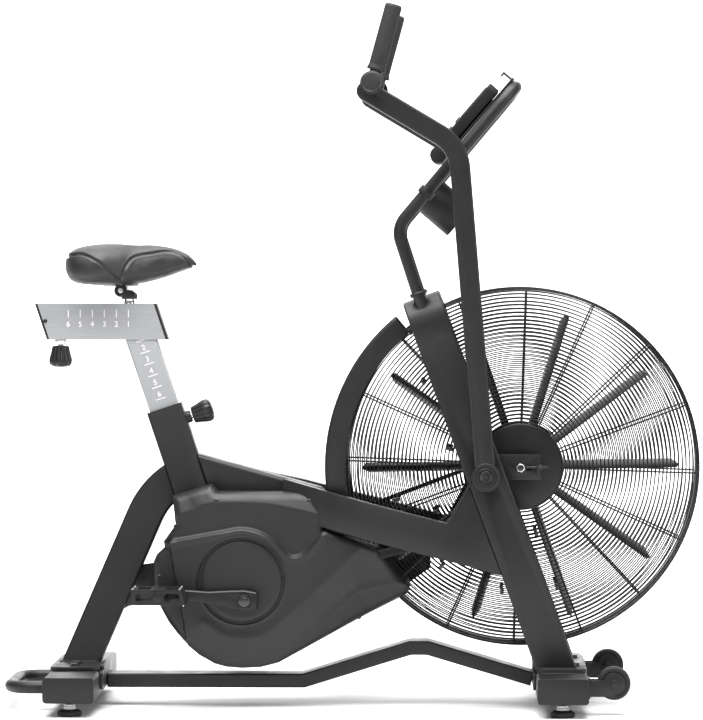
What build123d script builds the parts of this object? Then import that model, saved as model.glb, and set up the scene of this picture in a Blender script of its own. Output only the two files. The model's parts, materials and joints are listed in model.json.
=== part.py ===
"""Air bike: a fan-resistance exercise bike with swinging handlebars.

Millimetres, +X towards the fan, +Y to the rider's left, +Z up, floor at Z = 0.
Pairs are mirrored about the middle plane Y = 0.
"""
import os
from math import atan2, cos, degrees, radians, sin, sqrt, tan

from build123d import *

os.makedirs("parts", exist_ok=True)

# ---------------------------------------------------------------- driving dimensions
fit = 0.05                      # radial clearance of running fits
gap = 0.3                       # clearance between bodies that only pass each other
wall = 3.0                      # steel tube wall

# base
beam_length, beam_depth, beam_height, beam_bottom = 550, 100, 50, 28
rear_beam_x, front_beam_x = -549, 413
beam_top = beam_bottom + beam_height
beam_mid = beam_bottom + beam_height / 2
plate_thickness = 8
plate_top = beam_top + plate_thickness
foot_y, foot_radius = 238, 24
wheel_x, wheel_z, wheel_y, wheel_radius, wheel_width = 514, 62.5, 190, 32.5, 26

# frame
tube_width = 52                 # seat tube and rear leg across the bike
lean = 18.5                     # seat tube and seat post, degrees back from vertical
sleeve_x, sleeve_z, sleeve_depth = -379, 592, 72
leg_lean, leg_depth, leg_bend = 23.5, 72, 168
crank_x, crank_z = -213, 218
fan_x, fan_z = 332, 480
fork_inner, fork_outer, fork_depth = 114, 150, 76
fork_top_x, fork_top_z, fork_bottom_x, fork_bottom_z = 134, 817, 402, plate_top
beam_slope, side_beam_tall = 14.4, 71
pivot_x, pivot_z = 263.5, 465.5

# fan and cage
cage_radius, cage_half_width, wire = 357, 76, 2.6
hub_plate_radius, ring_pitch, spoke_count = 86, 7.7, 16
blade_count, blade_tip, blade_half_width = 10, 316, 56
chain_y, chain_half_width, pitch = 86, 4.0, 12.7
big_teeth, small_teeth = 39, 13

# drive
crank_length, crank_angle = 165, 175.4
eccentric_throw, strap_y, strap_thickness = 19, 96.0, 7.0
lever_length, lever_angle = 100, 15.0
casing_width, casing_wall = 108, 3.0

# seat
post_depth, post_width = 60, 40
rail_bottom, rail_top, rail_width = 731, 803, 44
saddle_post_x = -450


# ---------------------------------------------------------------- helpers
def side(y):
    """Plane seen from the rider's right: local x is X, local y is Z, at world Y = y."""
    return Plane.XZ.offset(-y)


def toward(x, z, angle, distance):
    """Point at a distance from (x, z) in a direction given in degrees above +X."""
    return (x + distance * cos(radians(angle)), z + distance * sin(radians(angle)))


def mitred_band(points, half):
    """Face of constant width along a line of straight runs, with mitred corners."""
    left, right = [], []
    last = len(points) - 1
    for i, (x, z) in enumerate(points):
        before = points[max(i - 1, 0)]
        after = points[min(i + 1, last)]
        a_in = atan2(z - before[1], x - before[0]) if i else None
        a_out = atan2(after[1] - z, after[0] - x) if i < last else None
        a_in = a_out if a_in is None else a_in
        a_out = a_in if a_out is None else a_out
        middle = (a_in + a_out) / 2
        reach = half / cos((a_out - a_in) / 2)
        left.append((x - reach * sin(middle), z + reach * cos(middle)))
        right.append((x + reach * sin(middle), z - reach * cos(middle)))
    with BuildLine() as outline:
        Polyline(*left, *reversed(right), close=True)
    make_face(outline.edges())


def save(part, label):
    """Label a finished piece and write it."""
    part.label = label
    export_step(part, f"parts/{label}.step")
    print(label, round(part.volume))


def leaning_plane(x, z, angle, y=0.0):
    """Plane across an axis that leans back by the angle; local x points forward."""
    a = radians(angle)
    return Plane(origin=(x, y, z), x_dir=(cos(a), 0, sin(a)), z_dir=(-sin(a), 0, cos(a)))


# ---------------------------------------------------------------- base
def stabilizer(x, label):
    foot_hole = 5.0 + fit
    with BuildPart() as beam:
        with BuildSketch(side(0)):
            with Locations((x, beam_mid)):
                RectangleRounded(beam_depth, beam_height, 7)
                RectangleRounded(beam_depth - 2 * wall, beam_height - 2 * wall, 4, mode=Mode.SUBTRACT)
        extrude(amount=beam_length / 2, both=True)
        for y in (-foot_y, foot_y):
            with BuildSketch(Plane.XY.offset(beam_bottom)):
                with Locations((x, y)):
                    Circle(11)
            extrude(amount=wall + 14)
            with BuildSketch(Plane.XY.offset(beam_bottom)):
                with Locations((x, y)):
                    Circle(foot_hole)
            extrude(amount=wall + 14, mode=Mode.SUBTRACT)
        if x > 0:
            with BuildSketch(Plane.XY.offset(beam_top)):
                with Locations((x, 0)):
                    RectangleRounded(beam_depth - 2, 2 * 158, 14)
            extrude(amount=plate_thickness)
            add(wheel_brackets())
    save(beam.part, label)


def stabilizer_end_caps():
    with BuildPart() as caps:
        for x in (rear_beam_x, front_beam_x):
            for s in (-1, 1):
                with BuildSketch(side(s * (beam_length / 2))):
                    with Locations((x, beam_mid)):
                        RectangleRounded(beam_depth, beam_height, 7)
                extrude(amount=-s * 3)
                with BuildSketch(side(s * (beam_length / 2))):
                    with Locations((x, beam_mid)):
                        RectangleRounded(beam_depth - 2 * wall, beam_height - 2 * wall, 4)
                extrude(amount=s * 12)
    save(caps.part, "stabilizer_end_caps")


def levelling_foot(x, y, label):
    with BuildPart() as foot:
        with BuildSketch(Plane.XZ.offset(-y)):
            with BuildLine():
                Polyline((x, 0), (x + foot_radius - 2, 0), (x + foot_radius, 2), (x + foot_radius, 9),
                         (x + foot_radius - 6, 13), (x + 9, 14), (x + 9, 19), (x + 5, 19),
                         (x + 5, beam_bottom + 15), (x, beam_bottom + 15), close=True)
            make_face()
        revolve(axis=Axis((x, y, 0), (0, 0, 1)))
    save(foot.part, label)


def base_rail():
    rail_half = 38
    centre = [(-493, 50), (-100, 50), (113, 116), (148, 116), (357, 54)]
    with BuildPart() as rail:
        with BuildSketch(side(0)):
            mitred_band(centre, 14)
        extrude(amount=rail_half, both=True)
        bends = [e for e in rail.edges().filter_by(Axis.Y) if -480 < e.center().X < 340]
        fillet(bends, 20)
        fillet(rail.edges().filter_by(lambda e: abs(abs(e.center().Y) - rail_half) < 0.1
                                      and e.length > 20), 4)
        with BuildSketch(side(0)):
            mitred_band(centre, 11.5)
        extrude(amount=rail_half - 2.5, both=True, mode=Mode.SUBTRACT)
        for x, high in ((-499, 90), (357, 108)):
            with BuildSketch(Plane.YZ.offset(x)):
                with Locations((0, (42 + beam_top) / 2)):
                    RectangleRounded(2 * 140, beam_top - 42, 6)
                with Locations((0, (42 + high) / 2)):
                    RectangleRounded(2 * (fork_inner - 6), high - 42, 8)
            extrude(amount=6)
    save(rail.part, "base_rail")


def rear_leg():
    """Curved leg from the rear stabilizer up to the seat tube, with its foot plate."""
    start = (-548.5, plate_top)
    a = radians(leg_lean)
    bend = (-418.7, 379.1)
    centre = (bend[0] + leg_bend * cos(a), bend[1] - leg_bend * sin(a))

    def strip(half):
        mid = radians(leg_lean + 20)
        far = radians(leg_lean + 44)
        points = []
        for r in (leg_bend + half, leg_bend - half):
            points.append([(centre[0] - r * cos(t), centre[1] + r * sin(t)) for t in (a, mid, far)])
        outer, inner = points
        low = 120
        outer_foot = (outer[0][0] - (outer[0][1] - plate_top + low) * tan(a), plate_top - low)
        inner_foot = (inner[0][0] - (inner[0][1] - plate_top + low) * tan(a), plate_top - low)
        with BuildLine() as outline:
            Line(outer_foot, outer[0])
            ThreePointArc(*outer)
            Line(outer[2], inner[2])
            ThreePointArc(*reversed(inner))
            Line(inner[0], inner_foot)
            Line(inner_foot, outer_foot)
        make_face(outline.edges())

    sleeve = leaning_plane(sleeve_x, sleeve_z, lean)
    with BuildPart() as leg:
        with BuildSketch(side(0)):
            strip(leg_depth / 2)
        extrude(amount=tube_width / 2, both=True)
        fillet(leg.edges().filter_by(GeomType.CIRCLE), 6)
        with BuildSketch(side(0)):
            strip(leg_depth / 2 - wall)
        extrude(amount=tube_width / 2 - wall, both=True, mode=Mode.SUBTRACT)
        split(bisect_by=Plane.XY.offset(plate_top), keep=Keep.TOP)
        with BuildSketch(sleeve.offset(-60)):
            with Locations((0, 0)):
                RectangleRounded(sleeve_depth + 0.02, tube_width + 30, 2)
        extrude(amount=-300, mode=Mode.SUBTRACT)
        with BuildSketch(sleeve.offset(-60)):
            with Locations((150 + sleeve_depth / 2, 0)):
                Rectangle(300, 100)
        extrude(amount=-300, mode=Mode.SUBTRACT)
        with BuildSketch(Plane.XY.offset(beam_top)):
            with Locations((rear_beam_x, 0)):
                RectangleRounded(98, 280, 14)
        extrude(amount=plate_thickness)
        with BuildSketch(side(0)):
            with BuildLine():
                Polyline((-478, 180), (-452, 196), (-395, 206), (-395, 284), (-440, 278), (-446, 268),
                         close=True)
            make_face()
        extrude(amount=4, both=True)
    save(leg.part, "rear_leg")


def seat_tube():
    """Slanted tube: the upper end is the sleeve of the seat post, the lower carries the crank."""
    top = leaning_plane(sleeve_x, sleeve_z, lean)
    length, hollow = 405, 340
    with BuildPart() as tube:
        with BuildSketch(top):
            RectangleRounded(sleeve_depth, tube_width, 6)
        extrude(amount=-length)
        with BuildSketch(side(0)):
            with Locations((crank_x, crank_z)):
                Circle(32)
        extrude(amount=40, both=True)
        with BuildSketch(top):
            RectangleRounded(sleeve_depth - 2 * wall, tube_width - 2 * wall, 4)
        extrude(amount=-hollow, mode=Mode.SUBTRACT)
        with BuildSketch(side(0)):
            with Locations((crank_x, crank_z)):
                Circle(21)
        extrude(amount=41, both=True, mode=Mode.SUBTRACT)
        # boss and hole of the height pull pin, square to the front face
        pin = pin_plane()
        with BuildSketch(pin):
            Circle(12)
        extrude(amount=10)
        with BuildSketch(pin.offset(-8)):
            Circle(6 + fit)
        extrude(amount=30, mode=Mode.SUBTRACT)
    save(tube.part, "seat_tube")


def pin_plane(distance=0.0):
    """Plane on the front face of the seat tube, facing forward, where the height pin sits."""
    a = radians(lean)
    down = 30
    origin = (sleeve_x + down * sin(a) + sleeve_depth / 2 * cos(a),
              0,
              sleeve_z - down * cos(a) + sleeve_depth / 2 * sin(a))
    return Plane(origin=origin, x_dir=(0, 1, 0), z_dir=(cos(a), 0, sin(a))).offset(distance)


def seat_bushing():
    """Plastic liner between the seat tube and the sliding post."""
    top = leaning_plane(sleeve_x, sleeve_z, lean)
    with BuildPart() as liner:
        with BuildSketch(top):
            RectangleRounded(sleeve_depth - 2 * wall, tube_width - 2 * wall, 4)
            RectangleRounded(post_depth + 2 * fit, post_width + 2 * fit, 5 + fit, mode=Mode.SUBTRACT)
        extrude(amount=-150)
        with BuildSketch(top):
            RectangleRounded(sleeve_depth, tube_width, 6)
            RectangleRounded(post_depth + 2 * fit, post_width + 2 * fit, 5 + fit, mode=Mode.SUBTRACT)
        extrude(amount=2.5)
        with BuildSketch(pin_plane(-20)):
            Circle(6 + fit)
        extrude(amount=20, mode=Mode.SUBTRACT)
    save(liner.part, "seat_bushing")


def top_tube():
    """Tube from the seat tube towards the fan, with the cheek plates beside it."""
    slope = radians(15.4)
    half = 34
    rear, front = (-330, 508.5), (-64, 508.5 - 266 * tan(slope))
    tall = 70
    with BuildPart() as tube:
        with BuildSketch(side(0)):
            with BuildLine():
                Polyline(rear, front, (front[0], front[1] - tall), (rear[0], rear[1] - tall), close=True)
            make_face()
        extrude(amount=half, both=True)
        fillet(tube.edges().filter_by(Axis((0, 0, 0), (cos(slope), 0, -sin(slope)))), 11)
        with BuildSketch(side(0)):
            with BuildLine():
                Polyline((rear[0] - 20, rear[1] - wall), (front[0] - wall, front[1] - wall),
                         (front[0] - wall, front[1] - tall + wall), (rear[0] - 20, rear[1] - tall + wall),
                         close=True)
            make_face()
        extrude(amount=half - wall, both=True, mode=Mode.SUBTRACT)
        with BuildSketch(leaning_plane(sleeve_x, sleeve_z, lean)):
            with Locations((-200 + sleeve_depth / 2, 0)):
                Rectangle(400, 200)
        extrude(amount=-400, mode=Mode.SUBTRACT)
    save(tube.part, "top_tube")


# ---------------------------------------------------------------- fork and side beams
def fork_axis():
    """Angle of the fork from vertical, in degrees, leaning back at the top."""
    return degrees(atan2(fork_bottom_x - fork_top_x, fork_top_z - fork_bottom_z))


def fork_plane(s=0.0):
    """Plane containing the fork axis and Y; local x is Y, local y runs up the fork."""
    a = radians(fork_axis())
    return Plane(origin=(fork_top_x, 0, fork_top_z), x_dir=(0, 1, 0), z_dir=(cos(a), 0, sin(a))).offset(s)


def beam_z(x):
    """Height of the side beam's centre line."""
    return 398 - tan(radians(beam_slope)) * (x + 60)


leg_split = -90                 # where the crown ends and the straight leg starts, along the fork


def fork_leg(s, label):
    """Straight leg of the fork with its gusset; s is the side, -1 for the rider's right."""
    a = radians(fork_axis())
    length = sqrt((fork_top_x - fork_bottom_x) ** 2 + (fork_top_z - fork_bottom_z) ** 2)
    inner, outer = fork_inner, fork_outer
    mid = s * (inner + outer) / 2
    with BuildPart() as leg:
        with BuildSketch(fork_plane()):
            with Locations((mid, (leg_split - length - 80) / 2)):
                Rectangle(outer - inner, length + 80 + leg_split)
        extrude(amount=fork_depth / 2, both=True)
        fillet(leg.edges().filter_by(Axis((0, 0, 0), (-sin(a), 0, cos(a)))), 5)
        with BuildSketch(fork_plane()):
            with Locations((mid, (leg_split - length - 80) / 2)):
                Rectangle(outer - inner - 2 * wall, length + 80 + leg_split)
        extrude(amount=fork_depth / 2 - wall, both=True, mode=Mode.SUBTRACT)
        split(bisect_by=Plane.XY.offset(plate_top), keep=Keep.TOP)
        # cross tube of the handlebar pivot
        with BuildSketch(side(mid)):
            with Locations((pivot_x, pivot_z)):
                Circle(22)
        extrude(amount=(outer - inner) / 2, both=True)
        with BuildSketch(side(mid)):
            with Locations((pivot_x, pivot_z)):
                Circle(16)
        extrude(amount=60, both=True, mode=Mode.SUBTRACT)
    save(leg.part, label)


def fork_crown():
    """Arch that joins the fork legs over the cage."""
    bend = 54
    shell = 22
    depth = fork_depth

    def arch(half, top, low, radius):
        with BuildLine() as outline:
            Line((-half, low), (-half, top - radius))
            RadiusArc((-half, top - radius), (-half + radius, top), radius)
            Line((-half + radius, top), (half - radius, top))
            RadiusArc((half - radius, top), (half, top - radius), radius)
            Line((half, top - radius), (half, low))
            Line((half, low), (-half, low))
        make_face(outline.edges())

    with BuildPart() as crown:
        with BuildSketch(fork_plane()):
            arch(fork_outer, 0, leg_split, bend)
        extrude(amount=depth / 2, both=True)
        with BuildSketch(fork_plane()):
            arch(fork_inner, -shell, leg_split, bend - 18)
        extrude(amount=depth, both=True, mode=Mode.SUBTRACT)
        outside = crown.faces().sort_by(Axis((0, 0, 0), fork_plane().z_dir))
        fillet(outside[0].edges() + outside[-1].edges(), 4)
        with BuildPart(mode=Mode.PRIVATE) as core:
            with BuildSketch(fork_plane()):
                arch(fork_outer - wall, -wall, leg_split - 1, bend - wall)
            extrude(amount=depth / 2 - wall, both=True)
            with BuildSketch(fork_plane()):
                arch(fork_inner + wall, -shell + wall, leg_split - 2, bend - 18 + wall)
            extrude(amount=depth, both=True, mode=Mode.SUBTRACT)
        add(core.part, mode=Mode.SUBTRACT)
        for y in (-stem_y, stem_y):
            with BuildSketch(Plane(origin=(stem_x, y, stem_low), z_dir=stem_direction())):
                Circle(stem_radius + fit)
            extrude(amount=80, both=True, mode=Mode.SUBTRACT)
    save(crown.part, "fork_crown")


def beam_band(tall, rear, front):
    """Sloping side view of the side beams between two places along X."""
    with BuildLine() as outline:
        Polyline((rear, beam_z(rear) + tall), (front, beam_z(front) + tall),
                 (front, beam_z(front) - tall), (rear, beam_z(rear) - tall), close=True)
    make_face(outline.edges())


def beam_plan(s):
    """Plan line of a side beam; the left one bends out earlier, to clear the chain."""
    middle = (fork_inner + fork_outer) / 2
    if s < 0:
        return (-132, -45), (40, -middle), (380, -middle)
    return (-180, 45), (-105, 113), (-30, 113), (60, middle), (380, middle)


def side_beam(s, label):
    """Beam from the top tube out and down to the fork; bent in plan."""
    tall = side_beam_tall / 2 / cos(radians(beam_slope))
    half = (fork_outer - fork_inner) / 2
    with BuildPart() as beam:
        with BuildSketch(Plane.XY.offset(200)):
            mitred_band(beam_plan(s), half)
        extrude(amount=300)
        with BuildSketch(side(0)):
            beam_band(tall, -260, 420)
        extrude(amount=200, both=True, mode=Mode.INTERSECT)
        gusset = [(183, beam_z(183) + 30), (234, 456), (290, 456), (330, 300), (330, beam_z(330))]
        with BuildSketch(side(s * fork_inner)):
            with BuildLine():
                Polyline(*gusset, close=True)
            make_face()
        extrude(amount=-s * (fork_outer - fork_inner))
        # hollow inside
        with BuildPart(mode=Mode.PRIVATE) as core:
            with BuildSketch(Plane.XY.offset(200)):
                mitred_band(beam_plan(s), half - wall)
            extrude(amount=300)
            with BuildSketch(side(0)):
                beam_band(tall - wall, -260, 420)
            extrude(amount=200, both=True, mode=Mode.INTERSECT)
        add(core.part, mode=Mode.SUBTRACT)
        # flat against the top tube, and cut to the rear face of the fork leg
        with BuildSketch(Plane.XY.offset(150)):
            with Locations((-200, 0)):
                Rectangle(600, 68)
        extrude(amount=400, mode=Mode.SUBTRACT)
        with BuildSketch(fork_plane(-fork_depth / 2)):
            with Locations((s * 132, -400)):
                Rectangle(60, 1200)
        extrude(amount=400, mode=Mode.SUBTRACT)
    save(beam.part, label)


stem_y, stem_radius = 128, 12
stem_x, stem_low = 135, 806
stem_corner = (87, 953)
stem_top = (322, 1232)


def stem_direction():
    dx, dz = stem_corner[0] - stem_x, stem_corner[1] - stem_low
    length = sqrt(dx * dx + dz * dz)
    return (dx / length, 0, dz / length)


def console_stem():
    """Bent tube loop that carries the console, standing in the fork crown."""
    foot = (stem_x - 26 * stem_direction()[0], stem_low - 26 * stem_direction()[2])
    points = [(foot[0], -stem_y, foot[1]), (stem_corner[0], -stem_y, stem_corner[1]),
              (stem_top[0], -stem_y, stem_top[1]), (stem_top[0], stem_y, stem_top[1]),
              (stem_corner[0], stem_y, stem_corner[1]), (foot[0], stem_y, foot[1])]
    with BuildPart() as stem:
        with BuildLine() as path:
            FilletPolyline(*points, radius=48)
        with BuildSketch(Plane(origin=points[0], z_dir=stem_direction())):
            Circle(stem_radius)
            Circle(stem_radius - 2, mode=Mode.SUBTRACT)
        sweep(path=path.line)
    save(stem.part, "console_stem")


def grab_handle():
    """U-shaped lifting handle welded to the back of the rear stabilizer."""
    radius, half, z, back = 12.5, 122, 44, -680.5
    start = rear_beam_x - beam_depth / 2
    with BuildPart() as handle:
        with BuildLine() as path:
            FilletPolyline((start, -half, z), (back, -half, z), (back, half, z), (start, half, z), radius=45)
        with BuildSketch(Plane(origin=(start, -half, z), z_dir=(-1, 0, 0))):
            Circle(radius)
            Circle(radius - 2.5, mode=Mode.SUBTRACT)
        sweep(path=path.line)
    save(handle.part, "grab_handle")


# ---------------------------------------------------------------- fan
axle_radius = 6
barrel_radius = 17
spoke_wire = 3.4
ring_plane = cage_half_width - wire / 2
corner_radius = 31
corner_start = cage_radius - wire / 2 - corner_radius
spoke_plane = ring_plane - wire / 2 - spoke_wire / 2 - 0.4
rim_half = 7
spoke_phase = 2.0
fan_axis = Axis((fan_x, 0, fan_z), (0, 1, 0))


def cage_frame(s, label):
    """Hub plate, radial spokes and half of the rim band of one side of the cage."""
    inset = ring_plane - spoke_plane
    bend = corner_radius - inset
    with BuildPart() as spoke:
        with BuildLine() as path:
            Line((fan_x + hub_plate_radius - 6, s * spoke_plane, fan_z),
                 (fan_x + corner_start, s * spoke_plane, fan_z))
            middle = (fan_x + corner_start + bend * sin(radians(45)),
                      s * (spoke_plane - bend + bend * cos(radians(45))), fan_z)
            ThreePointArc((fan_x + corner_start, s * spoke_plane, fan_z), middle,
                          (fan_x + corner_start + bend, s * (spoke_plane - bend), fan_z))
            Line((fan_x + corner_start + bend, s * (spoke_plane - bend), fan_z),
                 (fan_x + corner_start + bend, s * rim_half, fan_z))
        with BuildSketch(Plane(origin=(fan_x + hub_plate_radius - 6, s * spoke_plane, fan_z),
                               z_dir=(1, 0, 0))):
            Circle(spoke_wire / 2)
        sweep(path=path.line)
    with BuildPart() as cage:
        with BuildSketch(side(s * (spoke_plane - 2))):
            with Locations((fan_x, fan_z)):
                Circle(hub_plate_radius)
                Circle(barrel_radius + 4, mode=Mode.SUBTRACT)
        extrude(amount=-s * 7)
        with BuildSketch(side(0)):
            with Locations((fan_x, fan_z)):
                Circle(cage_radius)
                Circle(corner_start + bend - 2, mode=Mode.SUBTRACT)
        extrude(amount=-s * rim_half)
        for i in range(spoke_count):
            add(spoke.part.rotate(fan_axis, -(spoke_phase + 360 * i / spoke_count)))
    save(cage.part, label)


def cage_rings():
    """Wire rings of both sides of the cage, following its flat face, corner and rim."""
    places = []
    r = hub_plate_radius + 4
    while r < corner_start:
        places.append((r, ring_plane))
        r += ring_pitch
    steps = 6
    for i in range(steps):
        t = radians(90 * i / steps + 6)
        places.append((corner_start + corner_radius * sin(t),
                       ring_plane - corner_radius + corner_radius * cos(t)))
    y = ring_plane - corner_radius - 3
    while y > rim_half + wire:
        places.append((cage_radius - wire / 2, y))
        y -= ring_pitch
    with BuildPart() as rings:
        with BuildSketch(Plane.XY.offset(fan_z)):
            for r, y in places:
                for s in (-1, 1):
                    with Locations((fan_x + r, s * y)):
                        Rectangle(wire * 0.9, wire * 0.9)
        revolve(axis=fan_axis)
    save(rings.part, "cage_rings")


def fan_shroud():
    """Solid guard over the back of the cage, between the rider and the fan."""
    inner, outer, half, skin = 343, 388, 90, 3
    with BuildPart() as shroud:
        with BuildSketch(Plane.XY.offset(fan_z)):
            with Locations((fan_x - (inner + outer) / 2, 0)):
                RectangleRounded(outer - inner, 2 * half, 8)
            with Locations((fan_x - (inner + outer) / 2 + 10, 0)):
                Rectangle(outer - inner + 20 - 2 * skin, 2 * half - 2 * skin, mode=Mode.SUBTRACT)
        revolve(axis=fan_axis, revolution_arc=66)
        revolved = shroud.part.rotate(fan_axis, -16)
    with BuildPart() as shroud:
        add(revolved)
        slope = radians(beam_slope)
        top = side_beam_tall / 2 / cos(slope) + 0.5
        with BuildSketch(side(0)):
            with BuildLine():
                Polyline((-200, beam_z(-200) + top), (300, beam_z(300) + top), (300, 0), (-200, 0), close=True)
            make_face()
        extrude(amount=200, both=True, mode=Mode.SUBTRACT)
    save(shroud.part, "fan_shroud")


def axle_plates():
    """Slotted drop-out plates of the fan axle, each with its tensioner tab."""
    with BuildPart() as plates:
        for s in (-1, 1):
            with BuildSketch(side(s * 108)):
                with BuildLine():
                    Polyline((292, 456), (372, 456), (372, 507), (258, 507), (250, 494), (292, 494), close=True)
                make_face()
                with Locations((fan_x, fan_z)):
                    Circle(axle_radius + fit, mode=Mode.SUBTRACT)
                with Locations((fan_x + 14, fan_z)):
                    Rectangle(28, 2 * axle_radius - 2, mode=Mode.SUBTRACT)
            extrude(amount=-s * 6)
            with BuildSketch(Plane.YZ.offset(364)):
                with Locations((s * 119, fan_z + 1)):
                    Rectangle(10, 26)
                    Circle(3 + fit, mode=Mode.SUBTRACT)
            extrude(amount=4)
            # eye bolt and nut that pull the axle forward
            with BuildSketch(side(s * 114)):
                with Locations((fan_x, fan_z)):
                    Circle(11)
                with Locations((fan_x, fan_z)):
                    Circle(axle_radius + fit, mode=Mode.SUBTRACT)
            extrude(amount=-s * 9)
            with BuildSketch(Plane.YZ.offset(fan_x + 10)):
                with Locations((s * 119, fan_z + 1)):
                    Circle(3)
            extrude(amount=45)
            with BuildSketch(Plane.YZ.offset(368)):
                with Locations((s * 119, fan_z + 1)):
                    RegularPolygon(6.5, 6)
            extrude(amount=6)
    save(plates.part, "axle_plates")


def fan_axle():
    """Fixed axle with its end nuts and cones."""
    with BuildPart() as axle:
        with BuildSketch(side(0)):
            with Locations((fan_x, fan_z)):
                Circle(axle_radius)
        extrude(amount=126, both=True)
        for s in (-1, 1):
            with BuildSketch(side(s * 101)):
                with Locations((fan_x, fan_z)):
                    Circle(10)
            extrude(amount=-s * 7)
    save(axle.part, "fan_axle")


def fan_wheel():
    """Hub barrel, hub drum and radial blades, turning on the axle."""
    drum, camber, sheet = 58, 7, 2.2
    with BuildPart() as blade:
        with BuildSketch(Plane.YZ.offset(fan_x + drum - 4)):
            with BuildLine():
                h = blade_half_width
                ThreePointArc((-h, fan_z - camber), (0, fan_z + camber), (h, fan_z - camber))
                Line((h, fan_z - camber), (h, fan_z - camber + sheet))
                ThreePointArc((h, fan_z - camber + sheet), (0, fan_z + camber + sheet),
                              (-h, fan_z - camber + sheet))
                Line((-h, fan_z - camber + sheet), (-h, fan_z - camber))
            make_face()
        extrude(amount=blade_tip - drum + 4)
        with BuildSketch(side(0)):
            with BuildLine():
                Polyline((fan_x + blade_tip - 26, fan_z + 14), (fan_x + blade_tip, fan_z),
                         (fan_x + blade_tip - 12, fan_z - 14), (fan_x + blade_tip + 40, fan_z - 14),
                         (fan_x + blade_tip + 40, fan_z + 14), close=True)
            make_face()
        extrude(amount=100, both=True, mode=Mode.SUBTRACT)
    with BuildPart() as wheel:
        with BuildSketch(side(0)):
            with Locations((fan_x, fan_z)):
                Circle(drum)
                Circle(drum - 4, mode=Mode.SUBTRACT)
        extrude(amount=blade_half_width, both=True)
        for s in (-1, 1):
            with BuildSketch(side(s * (blade_half_width - 4))):
                with Locations((fan_x, fan_z)):
                    Circle(drum)
                    Circle(barrel_radius - 2, mode=Mode.SUBTRACT)
            extrude(amount=-s * 4)
        with BuildSketch(side(0)):
            with Locations((fan_x, fan_z)):
                Circle(barrel_radius)
                Circle(axle_radius + fit, mode=Mode.SUBTRACT)
        extrude(amount=100, both=True)
        for i in range(blade_count):
            add(blade.part.rotate(fan_axis, -(1 + 360 * i / blade_count)))
        sprocket(fan_x, fan_z, small_teeth, barrel_radius - 1)
    save(wheel.part, "fan_wheel")


def pitch_radius(teeth):
    return pitch / 2 / sin(radians(180 / teeth))


link_half = 4.2                 # half the height of the chain's side plates


def sprocket(x, z, teeth, bore, windows=0):
    """Add a toothed disc to the current part, its teeth just inside the chain's line."""
    root = pitch_radius(teeth) - link_half - gap
    with BuildSketch(side(chain_y), mode=Mode.PRIVATE) as disc:
        with Locations((x, z)):
            Circle(root)
            Circle(bore, mode=Mode.SUBTRACT)
            with PolarLocations(root, teeth, 180 / teeth):
                Circle(2.4, mode=Mode.SUBTRACT)
            if windows:
                with PolarLocations(root * 0.58, windows):
                    Circle(root * 0.24, mode=Mode.SUBTRACT)
    extrude(disc.sketch, amount=2, both=True)


def chainring():
    with BuildPart() as ring:
        sprocket(crank_x, crank_z, big_teeth, crank_bore, 5)
    save(ring.part, "chainring")


def drive_chain():
    with BuildPart() as chain:
        with BuildSketch(side(chain_y)):
            with Locations((crank_x, crank_z)):
                Circle(pitch_radius(big_teeth) + link_half)
            with Locations((fan_x, fan_z)):
                Circle(pitch_radius(small_teeth) + link_half)
            make_hull()
        extrude(amount=chain_half_width, both=True)
        with BuildSketch(side(chain_y)):
            with Locations((crank_x, crank_z)):
                Circle(pitch_radius(big_teeth) - link_half)
            with Locations((fan_x, fan_z)):
                Circle(pitch_radius(small_teeth) - link_half)
            make_hull()
        extrude(amount=chain_half_width + 1, both=True, mode=Mode.SUBTRACT)
    save(chain.part, "drive_chain")


# ---------------------------------------------------------------- crank and linkage
axle_end = 136
crank_bore = 10


def eccentric_centre(s):
    """Centre of the eccentric: square to the link rod, up on the right and down on the left."""
    return toward(crank_x, crank_z, 90 + lever_angle if s < 0 else 270 + lever_angle, eccentric_throw)


def lever_pin():
    return toward(pivot_x, pivot_z, 270 + lever_angle, lever_length)


def crank_axle():
    """Crank axle with its two eccentric discs."""
    disc = eccentric_throw + crank_bore + 8
    with BuildPart() as axle:
        with BuildSketch(side(0)):
            with Locations((crank_x, crank_z)):
                Circle(crank_bore)
        extrude(amount=axle_end, both=True)
        for s in (-1, 1):
            with BuildSketch(side(s * 91.5)):
                with Locations(eccentric_centre(s)):
                    Circle(disc)
            extrude(amount=-s * 4)
            with BuildSketch(side(s * (axle_end - 0.01))):
                with Locations((crank_x, crank_z)):
                    Circle(12)
            extrude(amount=-s * 4)
    save(axle.part, "crank_axle")


def crank_arms():
    """Forged arms with the pedal spindles, set opposite each other."""
    inner, outer = 112, 134
    spindle_end = 233.7
    half_heights = [(-26, 13), (-20, 18), (2, 20), (30, 17), (72, 11.5), (120, 11), (152, 13)]
    with BuildPart() as arms:
        for s, angle in ((-1, crank_angle), (1, crank_angle - 180)):
            a = radians(angle)

            def place(along, up):
                return (crank_x + along * cos(a) - up * sin(a), crank_z + along * sin(a) + up * cos(a))

            upper = [place(d, h) for d, h in half_heights]
            lower = [place(d, -h) for d, h in reversed(half_heights)]
            with BuildSketch(side(s * inner)):
                with BuildLine():
                    Polyline(*upper, place(crank_length, 13), place(crank_length, -13), *lower, close=True)
                make_face()
                with Locations(place(crank_length, 0)):
                    Circle(13)
                with Locations((crank_x, crank_z)):
                    Circle(crank_bore, mode=Mode.SUBTRACT)
            extrude(amount=-s * (outer - inner))
            with BuildSketch(side(s * outer)):
                with Locations(place(crank_length, 0)):
                    Circle(7)
            extrude(amount=-s * (spindle_end - outer))
        flat = arms.edges().filter_by(lambda e: abs(abs(e.center().Y) - outer) < 0.1)
        chamfer([e for e in flat if e.length > 15], 2.5)
    save(arms.part, "crank_arms")


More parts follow.
